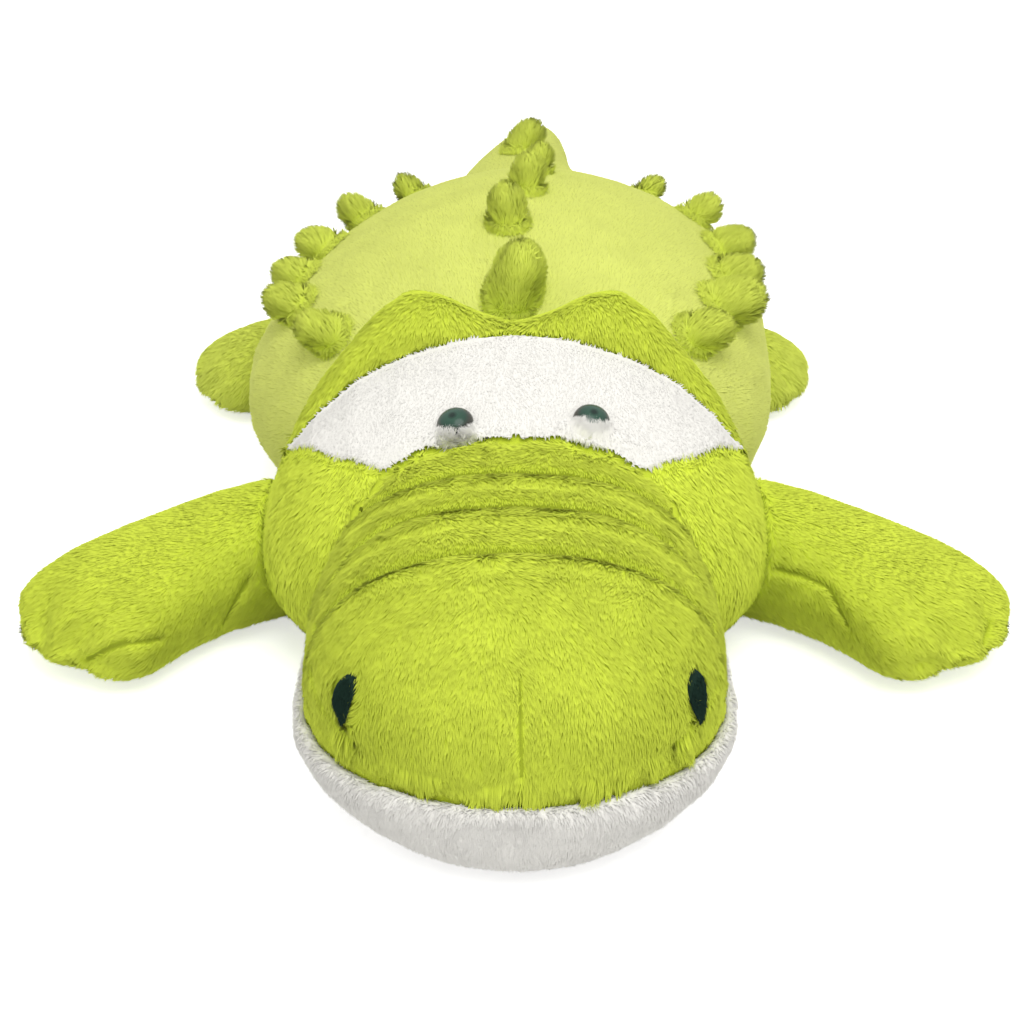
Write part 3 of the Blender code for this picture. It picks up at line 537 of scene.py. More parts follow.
def brushed_pile(name, skin, cloth, density, length, lean, nap, seed, keep=None, shade=None, trim=None,
                 stand=None, width=None, ragged=0.12, clump=None, tree=None, flat=0.6, close=True,
                 limit=48000):
    """Tufts of a cloth all over a skin, lying along its nap: pieces of at most limit tufts each.

    keep gives the share of tufts that stay, shade shifts their tone, which is where painted light and shade
    are put, trim gives their share of the length, and stand how far they stand up, all by place. On top they
    lie flatter, by flat, and their tone is lighter, which is painted light. With close, the tufts next to a
    seam lean over it.
    """
    pile = chosen().pile
    mesh = skin.data
    mesh.calc_loop_triangles()
    rows = np.empty(len(mesh.loop_triangles) * 3, np.int32)
    mesh.loop_triangles.foreach_get("vertices", rows)
    rows = rows.reshape(-1, 3)
    places, facings = places_of(mesh), facings_of(mesh)
    a, b, c = (places[rows[:, i]] for i in range(3))
    area = np.linalg.norm(np.cross(b - a, c - a), axis=1) / 2
    random = np.random.default_rng(seed)
    count = int(area.sum() * density)
    edges = np.cumsum(area) / area.sum()
    picked = np.searchsorted(edges, (np.arange(count) + random.random(count)) / count).clip(0, len(rows) - 1)
    s, t = random.random((2, count))
    over = s + t > 1
    s[over], t[over] = 1 - s[over], 1 - t[over]
    shares = np.stack([1 - s - t, s, t], axis=1)
    roots = np.einsum("ij,ijk->ik", shares, places[rows[picked]])
    ups = unit(np.einsum("ij,ijk->ik", shares, facings[rows[picked]]))
    stay = random.random(count) < (np.ones(count) if keep is None else keep(roots, ups))
    stay &= random.random(count) < np.where((ups[:, 2] < -0.75) & (roots[:, 2] < 0.02), 0.3, 1)
    roots, ups = roots[stay], ups[stay]
    if tree:
        stay = open_share(roots, ups, tree, TUFT_REACH) > 0.5
        roots, ups = roots[stay], ups[stay]
    count = len(roots)
    way = nap(roots, ups)
    way = way + 0.22 * drift(roots, 0.035, seed + 1) + 0.34 * drift(roots, 0.006, seed + 2)
    way = way + random.normal(0, 0.12, (count, 3))
    over_seam = np.zeros(count)
    if tree and close:
        gaps = np.zeros((count, 3))
        for i, root in enumerate(roots):
            spot, _, _, far = tree.find_nearest(Vector(root), LEAN_REACH)
            if spot:
                gaps[i] = (np.array(spot) - root) / max(far, 1e-6) * (1 - far / LEAN_REACH)
        gaps = gaps - ups * np.einsum("ij,ij->i", gaps, ups)[:, None]
        over_seam = np.linalg.norm(gaps, axis=1)
        way = unit(way) + 2.5 * gaps
    way = unit(way - ups * np.einsum("ij,ij->i", way, ups)[:, None])
    top = smooth_step(ups[:, 2], 0.45, 0.85)
    tilt = lean + 0.1 * drift(roots, 0.012, seed + 3, 1)[:, 0] + random.normal(0, 0.06, count)
    tilt = tilt + flat * top * (TOP_LEAN - tilt)
    tilt = tilt * (1 - 0.25 * over_seam)
    if stand:
        tilt = tilt * (1 - stand(roots, ups))
    along = ups * np.cos(tilt)[:, None] + way * np.sin(tilt)[:, None]
    uneven = 1 + ragged * drift(roots, 0.011, seed + 4, 1)[:, 0] + random.normal(0, 0.1, count)
    reach = length * uneven.clip(0.4, 1.6)
    if trim:
        reach = reach * trim(roots, ups)
    tips = roots + along * reach[:, None]
    centres = random.choice(count, max(1, count // 9), replace=False)
    finder = KDTree(len(centres))
    for i, k in enumerate(centres):
        finder.insert(roots[k], i)
    finder.balance()
    nearest = centres[[finder.find(p)[1] for p in roots]]
    pull = tips[nearest] - tips
    pull *= np.minimum(1, length * 0.5 / np.maximum(np.linalg.norm(pull, axis=1, keepdims=True), 1e-9))
    tips = tips + (pile.clump if clump is None else clump) * pull
    along = unit(tips - roots)
    side = unit(np.cross(ups, along))
    over = unit(np.cross(along, side))
    wide = (width or pile.width) * (0.75 + 0.5 * random.random(count))[:, None]
    sunk = roots - ups * 0.0006
    feet = [sunk + side * wide / 2, sunk - side * wide / 2, sunk + over * wide * 0.55]
    corners = np.stack([*feet, tips], axis=1)
    corners[:, :, 2] = np.maximum(corners[:, :, 2], 0.0004)
    soft = unit(ups * 0.9 + over * 0.2)
    tone = 0.5 + 0.14 * drift(roots, 0.02, seed + 5, 1)[:, 0] + 0.1 * drift(roots, 0.004, seed + 6, 1)[:, 0]
    # Painted light: tufts that face up are toned lighter; shade adds the painted light and shade given by
    # place.
    tone = tone + 0.12 * top + random.normal(0, 0.05, count)
    if shade:
        tone = tone + shade(roots, ups)
    made = []
    parts = max(1, math.ceil(count / limit))
    order = np.argsort(roots[:, 1], kind="stable")
    for k, rows in enumerate(np.array_split(order, parts)):
        label = name if parts == 1 else f"{name}_{k + 1}"
        piece = linked(label, mesh_of_tufts(label, corners[rows], soft[rows], tone[rows]))
        piece.data.materials.append(material_named(cloth + " pile"))
        made.append(piece)
    return made


# Materials


def add_node(tree, kind, sockets=None, **settings):
    """A shader node with its settings. sockets gives a value or a socket to link for each input."""
    node = tree.nodes.new("ShaderNode" + kind)
    for name, value in settings.items():
        setattr(node, name, value)
    for name, value in (sockets or {}).items():
        if isinstance(value, bpy.types.NodeSocket):
            tree.links.new(value, node.inputs[name])
        else:
            node.inputs[name].default_value = value
    return node


def group_of(name, inputs, outputs):
    """A node group with its named sockets, and its two end nodes."""
    group = bpy.data.node_groups.new(name, "ShaderNodeTree")
    for label, kind, default in inputs:
        socket = group.interface.new_socket(label, in_out="INPUT", socket_type=kind)
        socket.default_value = default
    for label, kind in outputs:
        group.interface.new_socket(label, in_out="OUTPUT", socket_type=kind)
    return group, group.nodes.new("NodeGroupInput").outputs, group.nodes.new("NodeGroupOutput").inputs


def colour(values):
    return (*values, 1.0)


def pile_tone_group():
    """Colour of a tuft: darker towards the root, which is painted shade deep in the pile, and lighter or
    darker tufts by the tone in its map.
    """
    group, given, result = group_of(
        "Pile tone",
        [
            ("Root", "NodeSocketColor", (0.2, 0.3, 0.01, 1)),
            ("Tip", "NodeSocketColor", (0.5, 0.7, 0.04, 1)),
            ("Depth", "NodeSocketFloat", 0.6),
            ("Contrast", "NodeSocketFloat", 0.4),
        ],
        [("Colour", "NodeSocketColor")],
    )
    place = add_node(group, "UVMap", uv_map="OFBake")
    split = add_node(group, "SeparateXYZ", {"Vector": place.outputs["UV"]}).outputs
    height = add_node(group, "Math", {0: split["Y"], 1: given["Depth"]}, operation="POWER")
    mixed = add_node(
        group, "Mix", {"Factor": height.outputs[0], "A": given["Root"], "B": given["Tip"]}, data_type="RGBA"
    )
    offset = add_node(group, "Math", {0: split["X"], 1: 0.5}, operation="SUBTRACT")
    scaled = add_node(
        group, "Math", {0: offset.outputs[0], 1: given["Contrast"], 2: 1.0}, operation="MULTIPLY_ADD"
    )
    toned = add_node(group, "HueSaturation", {"Color": mixed.outputs["Result"], "Value": scaled.outputs[0]})
    group.links.new(toned.outputs["Color"], result["Colour"])


def backing_group():
    """The cloth under the pile: mottled colour, darker along the seams, creases and folds marked on a skin,
    which is painted shade, and a fine knit.
    """
    group, given, result = group_of(
        "Cloth backing",
        [
            ("Colour A", "NodeSocketColor", (0.2, 0.3, 0.01, 1)),
            ("Colour B", "NodeSocketColor", (0.4, 0.5, 0.03, 1)),
            ("Mottle", "NodeSocketFloat", 180.0),
            ("Knit", "NodeSocketFloat", 900.0),
        ],
        [("Colour", "NodeSocketColor"), ("Height", "NodeSocketFloat")],
    )
    place = add_node(group, "TexCoord").outputs["Object"]
    mottle = add_node(group, "TexNoise", {"Detail": 4.0, "Vector": place, "Scale": given["Mottle"]})
    mixed = add_node(
        group, "Mix", {"Factor": mottle.outputs["Fac"], "A": given["Colour A"], "B": given["Colour B"]},
        data_type="RGBA",
    )
    knit = add_node(group, "TexVoronoi", {"Vector": place, "Scale": given["Knit"]})
    # Painted shade: the backing is darkened along the seams, creases and folds marked on the skin.
    seam = add_node(group, "Attribute", attribute_name="seam")
    level = add_node(group, "MapRange", {"To Min": 1.0, "To Max": 0.4, "Value": seam.outputs["Fac"]})
    seam_shaded = add_node(
        group, "HueSaturation", {"Color": mixed.outputs["Result"], "Value": level.outputs["Result"]}
    )
    group.links.new(seam_shaded.outputs["Color"], result["Colour"])
    group.links.new(knit.outputs["Distance"], result["Height"])


def plain_material(name, roughness, sheen=0.0, tint=(1, 1, 1)):
    made = bpy.data.materials.new(name)
    made.use_nodes = True
    shader = made.node_tree.nodes["Principled BSDF"]
    shader.inputs["Roughness"].default_value = roughness
    shader.inputs["Specular IOR Level"].default_value = 0.2
    shader.inputs["Sheen Weight"].default_value = sheen
    shader.inputs["Sheen Roughness"].default_value = 0.4
    shader.inputs["Sheen Tint"].default_value = colour(tint)
    return made, made.node_tree, shader


def grouped(tree, name, **values):
    """A shared node group with its uniform values."""
    node = tree.nodes.new("ShaderNodeGroup")
    node.node_tree = bpy.data.node_groups[name]
    for label, value in values.items():
        node.inputs[label.replace("_", " ")].default_value = value
    return node.outputs


def pile_material(name, root, tip, contrast=0.5, depth=0.55, sheen=0.15):
    made, tree, shader = plain_material(name, 0.9, sheen, tip)
    tone = grouped(tree, "Pile tone", Root=colour(root), Tip=colour(tip), Contrast=contrast, Depth=depth)
    tree.links.new(tone["Colour"], shader.inputs["Base Color"])


def backing_material(name, dark, light):
    made, tree, shader = plain_material(name, 0.95)
    cloth = grouped(tree, "Cloth backing", Colour_A=colour(dark), Colour_B=colour(light))
    tree.links.new(cloth["Colour"], shader.inputs["Base Color"])
    bump = add_node(tree, "Bump", {"Distance": 0.0004, "Strength": 0.6, "Height": cloth["Height"]})
    tree.links.new(bump.outputs["Normal"], shader.inputs["Normal"])


def mixed_with(a, b, share):
    return tuple(x * (1 - share) + y * share for x, y in zip(a, b))


def material_named(name):
    return bpy.data.materials[name]


# The form of the creases and the nap of each part


def crease_place(number, height):
    top, run, bend = CREASES[number]
    share = np.clip((CREASE_TOP - height) / (CREASE_TOP - CREASE_FOOT), 0, 1)
    return top - run * share**bend


def crease_share(places, width, behind=0.0):
    """1 at the bottom of a crease of the snout, or a little behind it, falling to 0 at both sides."""
    share = np.zeros(len(places))
    for number in range(len(CREASES)):
        off = (places[:, 1] - crease_place(number, places[:, 2]) - behind) / width
        share = np.maximum(share, np.exp(-off * off))
    return share * smooth_step(places[:, 2], 0.045, 0.07)


def groove_share(places, width):
    """1 in the grooves of the snout's solid, which the stuffing fills."""
    off = np.min([np.abs(places[:, 1] - middle) for middle in SOLID_CREASES], axis=0) / width
    return np.exp(-off * off) * smooth_step(places[:, 2], 0.045, 0.07)


def chin_seam_share(places, width):
    """1 along the short seam down the front of the snout."""
    middle = 0.0025 + 0.0015 * smooth_step(-places[:, 2], -0.13, -0.05)
    off = (places[:, 0] - middle) / width
    front = smooth_step(-places[:, 1], 0.452, 0.47)
    return np.exp(-off * off) * front


def pucker_share(places, width):
    """1 down the middle of the jaw's front, where its cloth is drawn together."""
    share = np.exp(-(((places[:, 0] + 0.001) / width) ** 2))
    share = share * smooth_step(places[:, 2], 0.012, 0.04) * (1 - smooth_step(places[:, 2], 0.046, 0.056))
    return share * smooth_step(-places[:, 1], 0.45, 0.48)


def nap_snout(roots, ups):
    way = np.tile([0.0, -1.0, -0.55], (len(roots), 1))
    way[:, 0] = roots[:, 0] * 2.5 + smooth_step(ups[:, 2], 0.55, 0.9) * 1.1 * drift(roots, 0.03, 7, 1)[:, 0]
    seam = np.exp(-((roots[:, 0] - 0.0035) / 0.006) ** 2) * smooth_step(-roots[:, 1], 0.45, 0.47)
    way[:, 0] += seam * np.sign(roots[:, 0] - 0.0035) * 0.25
    return way


def snout_edge(roots, ups):
    """1 along the lower edge of the snout, over the jaw."""
    lip = 0.065 + 0.002 * drift(roots, 0.02, 9, 1)[:, 0]
    return (np.abs(roots[:, 2] - lip) < 0.005) & (roots[:, 1] < -0.37)


def nostril_middle(name):
    low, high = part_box("nostril_" + name)
    return (np.array(low) + np.array(high)) / 2


def nostril_gap(roots, middle):
    """Distance from the middle of a nostril, 1 at the edge of its open part."""
    side, up, wide, high = NOSTRIL_GAPS["left" if middle[0] > 0 else "right"]
    off = (roots - middle - np.array([side, 0, up])) / np.array([wide, 0.02, high])
    return np.sqrt(np.einsum("ij,ij->i", off, off)) + 0.18 * drift(roots, 0.005, 17, 1)[:, 0]


def nap_head(roots, ups):
    way = np.tile([0.0, -0.8, -0.7], (len(roots), 1))
    way[:, 0] = roots[:, 0] * 3 + smooth_step(ups[:, 2], 0.55, 0.9) * 0.9 * drift(roots, 0.03, 8, 1)[:, 0]
    return way


def nap_body(roots, ups):
    way = np.tile([0.0, 1.0, -0.5], (len(roots), 1))
    way[:, 0] = roots[:, 0] * 2
    return way


def nap_jaw(roots, ups):
    way = np.tile([0.0, -0.4, -1.0], (len(roots), 1))
    way[:, 0] = roots[:, 0] * 3
    return way


def nap_out(centre):
    """A nap that runs away from a point."""

    def way(roots, ups):
        return unit(roots - np.array(centre))

    return way


class CROC_OT_finishes(bpy.types.Operator):
    """Mixes the colours of the cloths"""

    bl_idname = "crocodile.finishes"
    bl_label = "Finishes"

    def execute(self, context):
        cloth = context.scene.cloth
        pile_tone_group()
        backing_group()
        # The roots, and the backings made from them, are darker than the tips: painted shade deep in the
        # pile.
        pile_material("green pile", cloth.green_root, cloth.green, contrast=0.4)
        pile_material("paler green pile", cloth.pale_root, cloth.pale, contrast=0.4)
        # Painted sheen: the back's pile and backing are a paler copy of the green cloth.
        pile_material("back pile", cloth.back_root, cloth.back, contrast=0.3)
        pile_material("white pile", cloth.white_root, cloth.white, contrast=0.05, depth=0.4, sheen=0.1)
        pile_material("nostril pile", mixed_with(cloth.felt, (0, 0, 0), 0.5), cloth.felt, contrast=0.8)
        backing_material("green backing", mixed_with(cloth.green_root, (0, 0, 0), 0.15), cloth.green_root)
        backing_material("paler green backing", mixed_with(cloth.pale_root, (0, 0, 0), 0.1), cloth.pale_root)
        backing_material("back backing", mixed_with(cloth.back_root, (0, 0, 0), 0.1), cloth.back_root)
        backing_material("white backing", cloth.white_root, cloth.white)
        backing_material("nostril backing", mixed_with(cloth.felt, (0, 0, 0), 0.6), cloth.felt)
        return {"FINISHED"}


def dress(skin, backing, body=None, across=None):
    """Gives a skin its cloth and its body; a skin given the two bodies that it would bend between gets no
    body and keeps its place.
    """
    skin.data.materials.clear()
    skin.data.materials.append(material_named(backing))
    carry([skin], body, across)


def carry(pieces, body=None, across=None):
    for piece in pieces:
        if across:
            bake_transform(piece)
        else:
            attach(piece, body)


class CROC_OT_body(bpy.types.Operator):
    """Sews the long green skin of body and tail and fills it"""

    bl_idname = "crocodile.body"
    bl_label = "Body and tail"

    def execute(self, context):
        pile = context.scene.pile
        nodes = ("body_cover", "body_stuffing", "tail_cover", "tail_stuffing")
        near = [n for n in frame["nodes"] if n not in nodes and n != "tail_spike"]
        skin = sewn_skin("body_skin", nodes, near)
        # Painted sheen: the body and tail get the back's paler copy of the green cloth.
        dress(skin, "back backing", across=TAIL_BEND)
        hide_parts(*nodes)
        made = brushed_pile(
            "body_pile", skin, "back", BODY_TUFTS, pile.length * 0.85, math.radians(78), nap_body, 11,
            width=pile.width * 1.3, ragged=0.05, clump=0.12, tree=tree_of(near), flat=0.8,
        )
        carry(made, across=TAIL_BEND)
        return {"FINISHED"}


class CROC_OT_head(bpy.types.Operator):
    """Sews the head and fills it"""

    bl_idname = "crocodile.head"
    bl_label = "Head"

    def execute(self, context):
        pile = context.scene.pile
        nodes = ("head_cover", "head_stuffing")
        near = [n for n in frame["nodes"] if n not in nodes and "washer" not in n]
        skin = sewn_skin("head_skin", nodes, near)
        dress(skin, "green backing", "torso")
        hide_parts(*nodes)
        # Painted light: the head's tufts are all toned lighter than the same green elsewhere, to lift its
        # sides out of their shade.
        made = brushed_pile(
            "head_pile", skin, "green", HEAD_TUFTS, pile.length, pile.lean, nap_head, 21,
            shade=lambda roots, ups: np.full(len(roots), 0.35), tree=tree_of(near),
        )
        carry(made, "torso")
        return {"FINISHED"}


class CROC_OT_snout(bpy.types.Operator):
    """Sews the upper snout with its creases and its short front seam"""

    bl_idname = "crocodile.snout"
    bl_label = "Snout"

    def execute(self, context):
        pile, shape = context.scene.pile, context.scene.shape
        nodes = ("snout_cover", "muzzle_stuffing")
        near = [n for n in frame["nodes"] if n not in nodes and not n.startswith("nostril")]
        skin = sewn_skin("snout_skin", nodes, near, sewn=lambda p: crease_share(p, 0.006))
        finish_with(skin, "SUBSURF", levels=1, render_levels=1)
        press(
            skin,
            lambda p, n: shape.crease_depth * crease_share(p, shape.crease_width)
            + shape.crease_depth * 0.15 * crease_share(p, shape.crease_width * 3)
            + shape.seam_depth * chin_seam_share(p, 0.0025) - 0.0028 * groove_share(p, 0.0065),
        )
        # Painted shade: marks the creases and the chin seam for a darker backing there.
        mark(skin, lambda p: np.maximum(crease_share(p, 0.003, 0.0008), 0.8 * chin_seam_share(p, 0.0016)))
        dress(skin, "green backing", "torso")
        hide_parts(*nodes)
        nostrils = [nostril_middle(name) for name, _ in SIDES]

        def keep(roots, ups):
            share = 1 - 0.97 * (crease_share(roots, 0.0027, 0.0012) > 0.5)
            share = share * (1 - 0.95 * (chin_seam_share(roots, 0.0009) > 0.4))
            for middle in nostrils:
                share = share * (nostril_gap(roots, middle) > 1)
            return share

        def rim(roots):
            return sum(1 - smooth_step(nostril_gap(roots, middle), 1.0, 1.5) for middle in nostrils)

        def nap(roots, ups):
            way = nap_snout(roots, ups)
            for middle in nostrils:
                near_it = 1 - smooth_step(nostril_gap(roots, middle), 1.0, 1.5)
                way = way + 1.6 * near_it[:, None] * unit(middle - roots)
            return way

        # Painted shade: tufts in the creases and along the chin seam are toned darker.
        def shade(roots, ups):
            return -0.4 * crease_share(roots, 0.003) - 0.15 * chin_seam_share(roots, 0.002)

        def trim(roots, ups):
            lip = 0.55 * smooth_step(-roots[:, 1], 0.37, 0.4) * (1 - smooth_step(roots[:, 2], 0.06, 0.074))
            seams = 0.65 * crease_share(roots, 0.005, 0.0028) + 0.25 * chin_seam_share(roots, 0.0025)
            return (1 - lip) * (1 - seams)

        made = brushed_pile(
            "snout_pile", skin, "green", SNOUT_TUFTS, pile.length, pile.lean, nap, 31, keep=keep, shade=shade,
            trim=trim, stand=lambda roots, ups: 0.2 * rim(roots), width=pile.width * 0.85, tree=tree_of(near),
        )
        made += brushed_pile(
            "snout_fringe", skin, "green", FRINGE_TUFTS, 0.0135, math.radians(60), nap_snout, 35,
            keep=snout_edge, ragged=0.2, clump=0.45, width=pile.width, flat=0.0,
            trim=lambda roots, ups: (0.45 + 0.55 * smooth_step(drift(roots, 0.011, 39, 1)[:, 0], -0.25, 0.3))
            * (1 - 0.7 * smooth_step(np.abs(roots[:, 0]), 0.09, 0.115)),
        )
        carry(made, "torso")
        return {"FINISHED"}


class CROC_OT_jaw(bpy.types.Operator):
    """Sews the white lower jaw"""

    bl_idname = "crocodile.jaw"
    bl_label = "Lower jaw"

    def execute(self, context):
        pile = context.scene.pile
        nodes = ("jaw_cover",)
        near = [n for n in frame["nodes"] if n not in nodes]
        skin = sewn_skin("jaw_skin", nodes, near, rise=0.0008)
        press(skin, lambda p, n: 0.003 * pucker_share(p, 0.005) + 0.002 * pucker_share(p, 0.016))
        dress(skin, "white backing", "torso")
        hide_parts(*nodes)
        made = brushed_pile(
            "jaw_pile", skin, "white", JAW_TUFTS, pile.white_length, math.radians(75), nap_jaw, 41,
            clump=0.1, width=pile.width * 0.9, tree=tree_of(near), close=False,
        )
        carry(made, "torso")
        return {"FINISHED"}


class CROC_OT_brow(bpy.types.Operator):
    """Sews the two-lobed roll behind the eyes"""

    bl_idname = "crocodile.brow"
    bl_label = "Brow"

    def execute(self, context):
        pile = context.scene.pile
        near = [n for n in frame["nodes"] if n != "brow_cover"]
        skin = sewn_skin("brow_skin", ("brow_cover",), near, voxel=0.004, rounds=20)
        dress(skin, "green backing", "torso")
        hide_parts("brow_cover")
        # Painted light: brow tufts that face back are toned lighter, along the brow's rear edge, against
        # their shade.
        made = brushed_pile(
            "brow_pile", skin, "green", BROW_TUFTS, pile.length, pile.lean, nap_head, 51,
            shade=lambda roots, ups: 0.5 * smooth_step(ups[:, 1], 0.2, 0.5), tree=tree_of(near), close=False,
            stand=lambda roots, ups: -0.24 * smooth_step(ups[:, 1], 0.0, 0.4),
        )
        carry(made, "torso")
        return {"FINISHED"}


class CROC_OT_mask(bpy.types.Operator):
    """Sews the white band that holds the eyes"""

    bl_idname = "crocodile.mask"
    bl_label = "Eye band"

    def execute(self, context):
        pile = context.scene.pile
        near = [n for n in frame["nodes"] if n != "eye_mask" and not n.startswith("eye")]
        skin = sewn_skin("eye_band", ("eye_mask",), near, voxel=0.0018, rise=0.0012, puffed=False)
        eyes = [eye_seat(name) for name, _ in SIDES]
        press(
            skin,
            lambda p, n: 0.001 * eye_nearness(p, eyes, 0.005, 0.018)
            - 0.0036 * eye_front(p, eyes, 0.009, 0.026),
        )
        dress(skin, "white backing", "torso")
        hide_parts("eye_mask")

        def keep(roots, ups):
            return eye_nearness(roots, eyes, EYE_RADIUS - 0.0012, EYE_RADIUS) < 0.5

        def before(roots, ups):
            close = eye_nearness(roots, eyes, EYE_RADIUS - 0.0028, EYE_RADIUS - 0.0018) < 0.5
            return close * (eye_front(roots, eyes, EYE_RADIUS, EYE_RADIUS + 0.007) > 0.3)

        def lower(roots, ups):
            return 0.45 + 0.55 * eye_front(roots, eyes, EYE_RADIUS + 0.002, EYE_RADIUS + 0.009)

        def inwards(roots, ups):
            gaps = np.array([roots - np.array(seat) for seat, _ in eyes])
            nearest = np.argmin(np.linalg.norm(gaps, axis=2), axis=0)
            return -unit(gaps[nearest, np.arange(len(roots))]) + 0.3 * drift(roots, 0.004, 66)

        made = brushed_pile(
            "eye_band_pile", skin, "white", BAND_TUFTS, pile.white_length * 0.65, math.radians(84), nap_head,
            61, keep=keep, clump=0.05, width=pile.width, tree=tree_of(near), flat=1.0,
        )
        # Painted light: the fringe's tufts are all toned lighter, to lift them out of the shade below the
        # eyes.
        made += brushed_pile(
            "eye_fringe", skin, "white", EYE_FRINGE_TUFTS, 0.0072, math.radians(50), inwards, 65,
            keep=before, clump=0.15, ragged=0.2, width=pile.width * 0.75, flat=0.0, trim=lower,
            shade=lambda roots, ups: np.full(len(roots), 0.5),
        )
        carry(made, "torso")
        return {"FINISHED"}


def eye_seat(name):
    """Where an eye sits on the white band, and the way that it faces, from the washer on its shank."""
    mesh = frame["nodes"]["eye_washer_" + name].data
    facing = max(mesh.polygons, key=lambda face: face.normal.z).normal.copy()
    across = facing.orthogonal().normalized()
    ways = np.array([across, facing.cross(across), facing])
    spots = places_of(mesh) @ ways.T
    middle = Vector(((spots.min(0) + spots.max(0)) / 2) @ ways)
    return middle + facing * WASHER_DEPTH, facing


def eye_nearness(places, eyes, inner, outer):
    """1 close to the shank of either eye, falling to 0 between two distances from it."""
    share = np.zeros(len(places))
    for seat, facing in eyes:
        off = places - np.array(seat)
        off = off - np.outer(off @ np.array(facing), np.array(facing))
        share = np.maximum(share, 1 - smooth_step(np.linalg.norm(off, axis=1), inner, outer))
    return share


def eye_front(places, eyes, inner, outer):
    """eye_nearness on the side of the snout alone."""
    share = np.zeros(len(places))
    for eye in eyes:
        forward = smooth_step(eye[0].y - places[:, 1], -0.002, 0.008)
        share = np.maximum(share, forward * eye_nearness(places, [eye], inner, outer))
    return share


def eye_material():
    """Moulded plastic: a dark pupil in a green iris."""
    made, tree, shader = plain_material("eye plastic", 0.22)
    shader.inputs["Specular IOR Level"].default_value = 0.3
    place = add_node(tree, "UVMap", uv_map="OFBake").outputs["UV"]
    off = add_node(tree, "VectorMath", {0: place, 1: (0.5, 0.5, 0)}, operation="DISTANCE")
    grain = add_node(tree, "TexNoise", {"Scale": 40.0, "Vector": place})
    joined = add_node(
        tree, "Math", {0: grain.outputs["Fac"], 1: 0.05, 2: off.outputs["Value"]}, operation="MULTIPLY_ADD"
    )
    ramp = add_node(tree, "ValToRGB", {"Fac": joined.outputs[0]})
    stops = ((0.07, (0.010, 0.026, 0.019)), (0.16, (0.032, 0.088, 0.058)), (0.32, (0.026, 0.068, 0.046)),
             (0.42, (0.05, 0.05, 0.042)))
    while len(ramp.color_ramp.elements) < len(stops):
        ramp.color_ramp.elements.new(0.5)
    for stop, (place_on_ramp, shade) in zip(ramp.color_ramp.elements, stops):
        stop.position = place_on_ramp
        stop.color = colour(shade)
    tree.links.new(ramp.outputs["Color"], shader.inputs["Base Color"])
    return made


def choose_faces(piece, test):
    """Selects the faces of a piece in edit mode whose middle passes a test."""
    bpy.ops.mesh.select_mode(type="FACE")
    bpy.ops.mesh.select_all(action="DESELECT")
    form = bmesh.from_edit_mesh(piece.data)
    for face in form.faces:
        face.select_set(bool(test(face.calc_center_median())))
    bmesh.update_edit_mesh(piece.data)


class CROC_OT_eyes(bpy.types.Operator):
    """Moulds the two glossy eyes on their shanks"""

    bl_idname = "crocodile.eyes"
    bl_label = "Eyes"

    def execute(self, context):
        finish = eye_material()
        for name, _ in SIDES:
            seat, facing = eye_seat(name)
            clear_choice()
            bpy.ops.mesh.primitive_uv_sphere_add(
                segments=48, ring_count=24, radius=EYE_RADIUS, calc_uvs=False
            )
            piece = context.active_object
            piece.name = piece.data.name = f"eye_dome_{name}"
            bpy.ops.object.mode_set(mode="EDIT")
            choose_faces(piece, lambda middle: middle.z > 0)
            bpy.ops.transform.resize(value=(1, 1, EYE_RISE / EYE_RADIUS), center_override=(0, 0, 0))
            choose_faces(piece, lambda middle: middle.z < 0)
            bpy.ops.transform.resize(value=(1, 1, EYE_SINK / EYE_RADIUS), center_override=(0, 0, 0))
            choose_faces(piece, lambda middle: middle.z < 0 and middle.xy.length < SHANK_RADIUS)
            bpy.ops.mesh.extrude_region_move(
                TRANSFORM_OT_translate={"value": (0, 0, EYE_SINK - SHANK_LENGTH)}
            )
            bpy.ops.object.mode_set(mode="OBJECT")
            mesh = piece.data
            layer = mesh.uv_layers.new(name="OFBake")
            corners = np.empty(len(mesh.loops), np.int32)
            mesh.loops.foreach_get("vertex_index", corners)
            spots = places_of(mesh)[corners][:, :2] / EYE_RADIUS * 0.45 + 0.5
            layer.uv.foreach_set("vector", spots.astype(np.float32).ravel())
            turn = Vector((0, 0, 1)).rotation_difference(facing).to_matrix().to_4x4()
            mesh.transform(Matrix.Translation(seat) @ turn)
            piece.location = (0, 0, 0)
            mesh.shade_smooth()
            mesh.materials.append(finish)
            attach(piece, "torso")
            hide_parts("eye_" + name)
        return {"FINISHED"}


class CROC_OT_nostrils(bpy.types.Operator):
    """Sews the two dark nostril patches"""

    bl_idname = "crocodile.nostrils"
    bl_label = "Nostrils"

    def execute(self, context):
        for number, (name, _) in enumerate(SIDES):
            node = "nostril_" + name
            skin = sewn_skin(node + "_patch", (node,), (), voxel=0.0007, rise=0.0006, puffed=False)
            middle = nostril_middle(name)
            places = places_of(skin.data)
            inwards = unit(np.array([[-middle[0] * 6, 1.0, -0.1]]))
            depth = 0.0045 * smooth_step(nostril_gap(places, middle), 0.85, 1.15)
            put_places(skin.data, places + inwards * depth[:, None])
            dress(skin, "nostril backing", "torso")
            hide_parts(node)
            made = brushed_pile(
                node + "_pile", skin, "nostril", NOSTRIL_TUFTS, 0.0032, math.radians(60), nap_snout,
                71 + 10 * number, width=0.0009,
                keep=lambda roots, ups: (ups[:, 1] < 0) * (nostril_gap(roots, middle) < 0.9),
            )
            carry(made, "torso")
        return {"FINISHED"}


def lines_share(places, lines, width):
    share = np.zeros(len(places))
    for line in lines:
        share = np.maximum(share, trail_share(places, line, width))
    return share


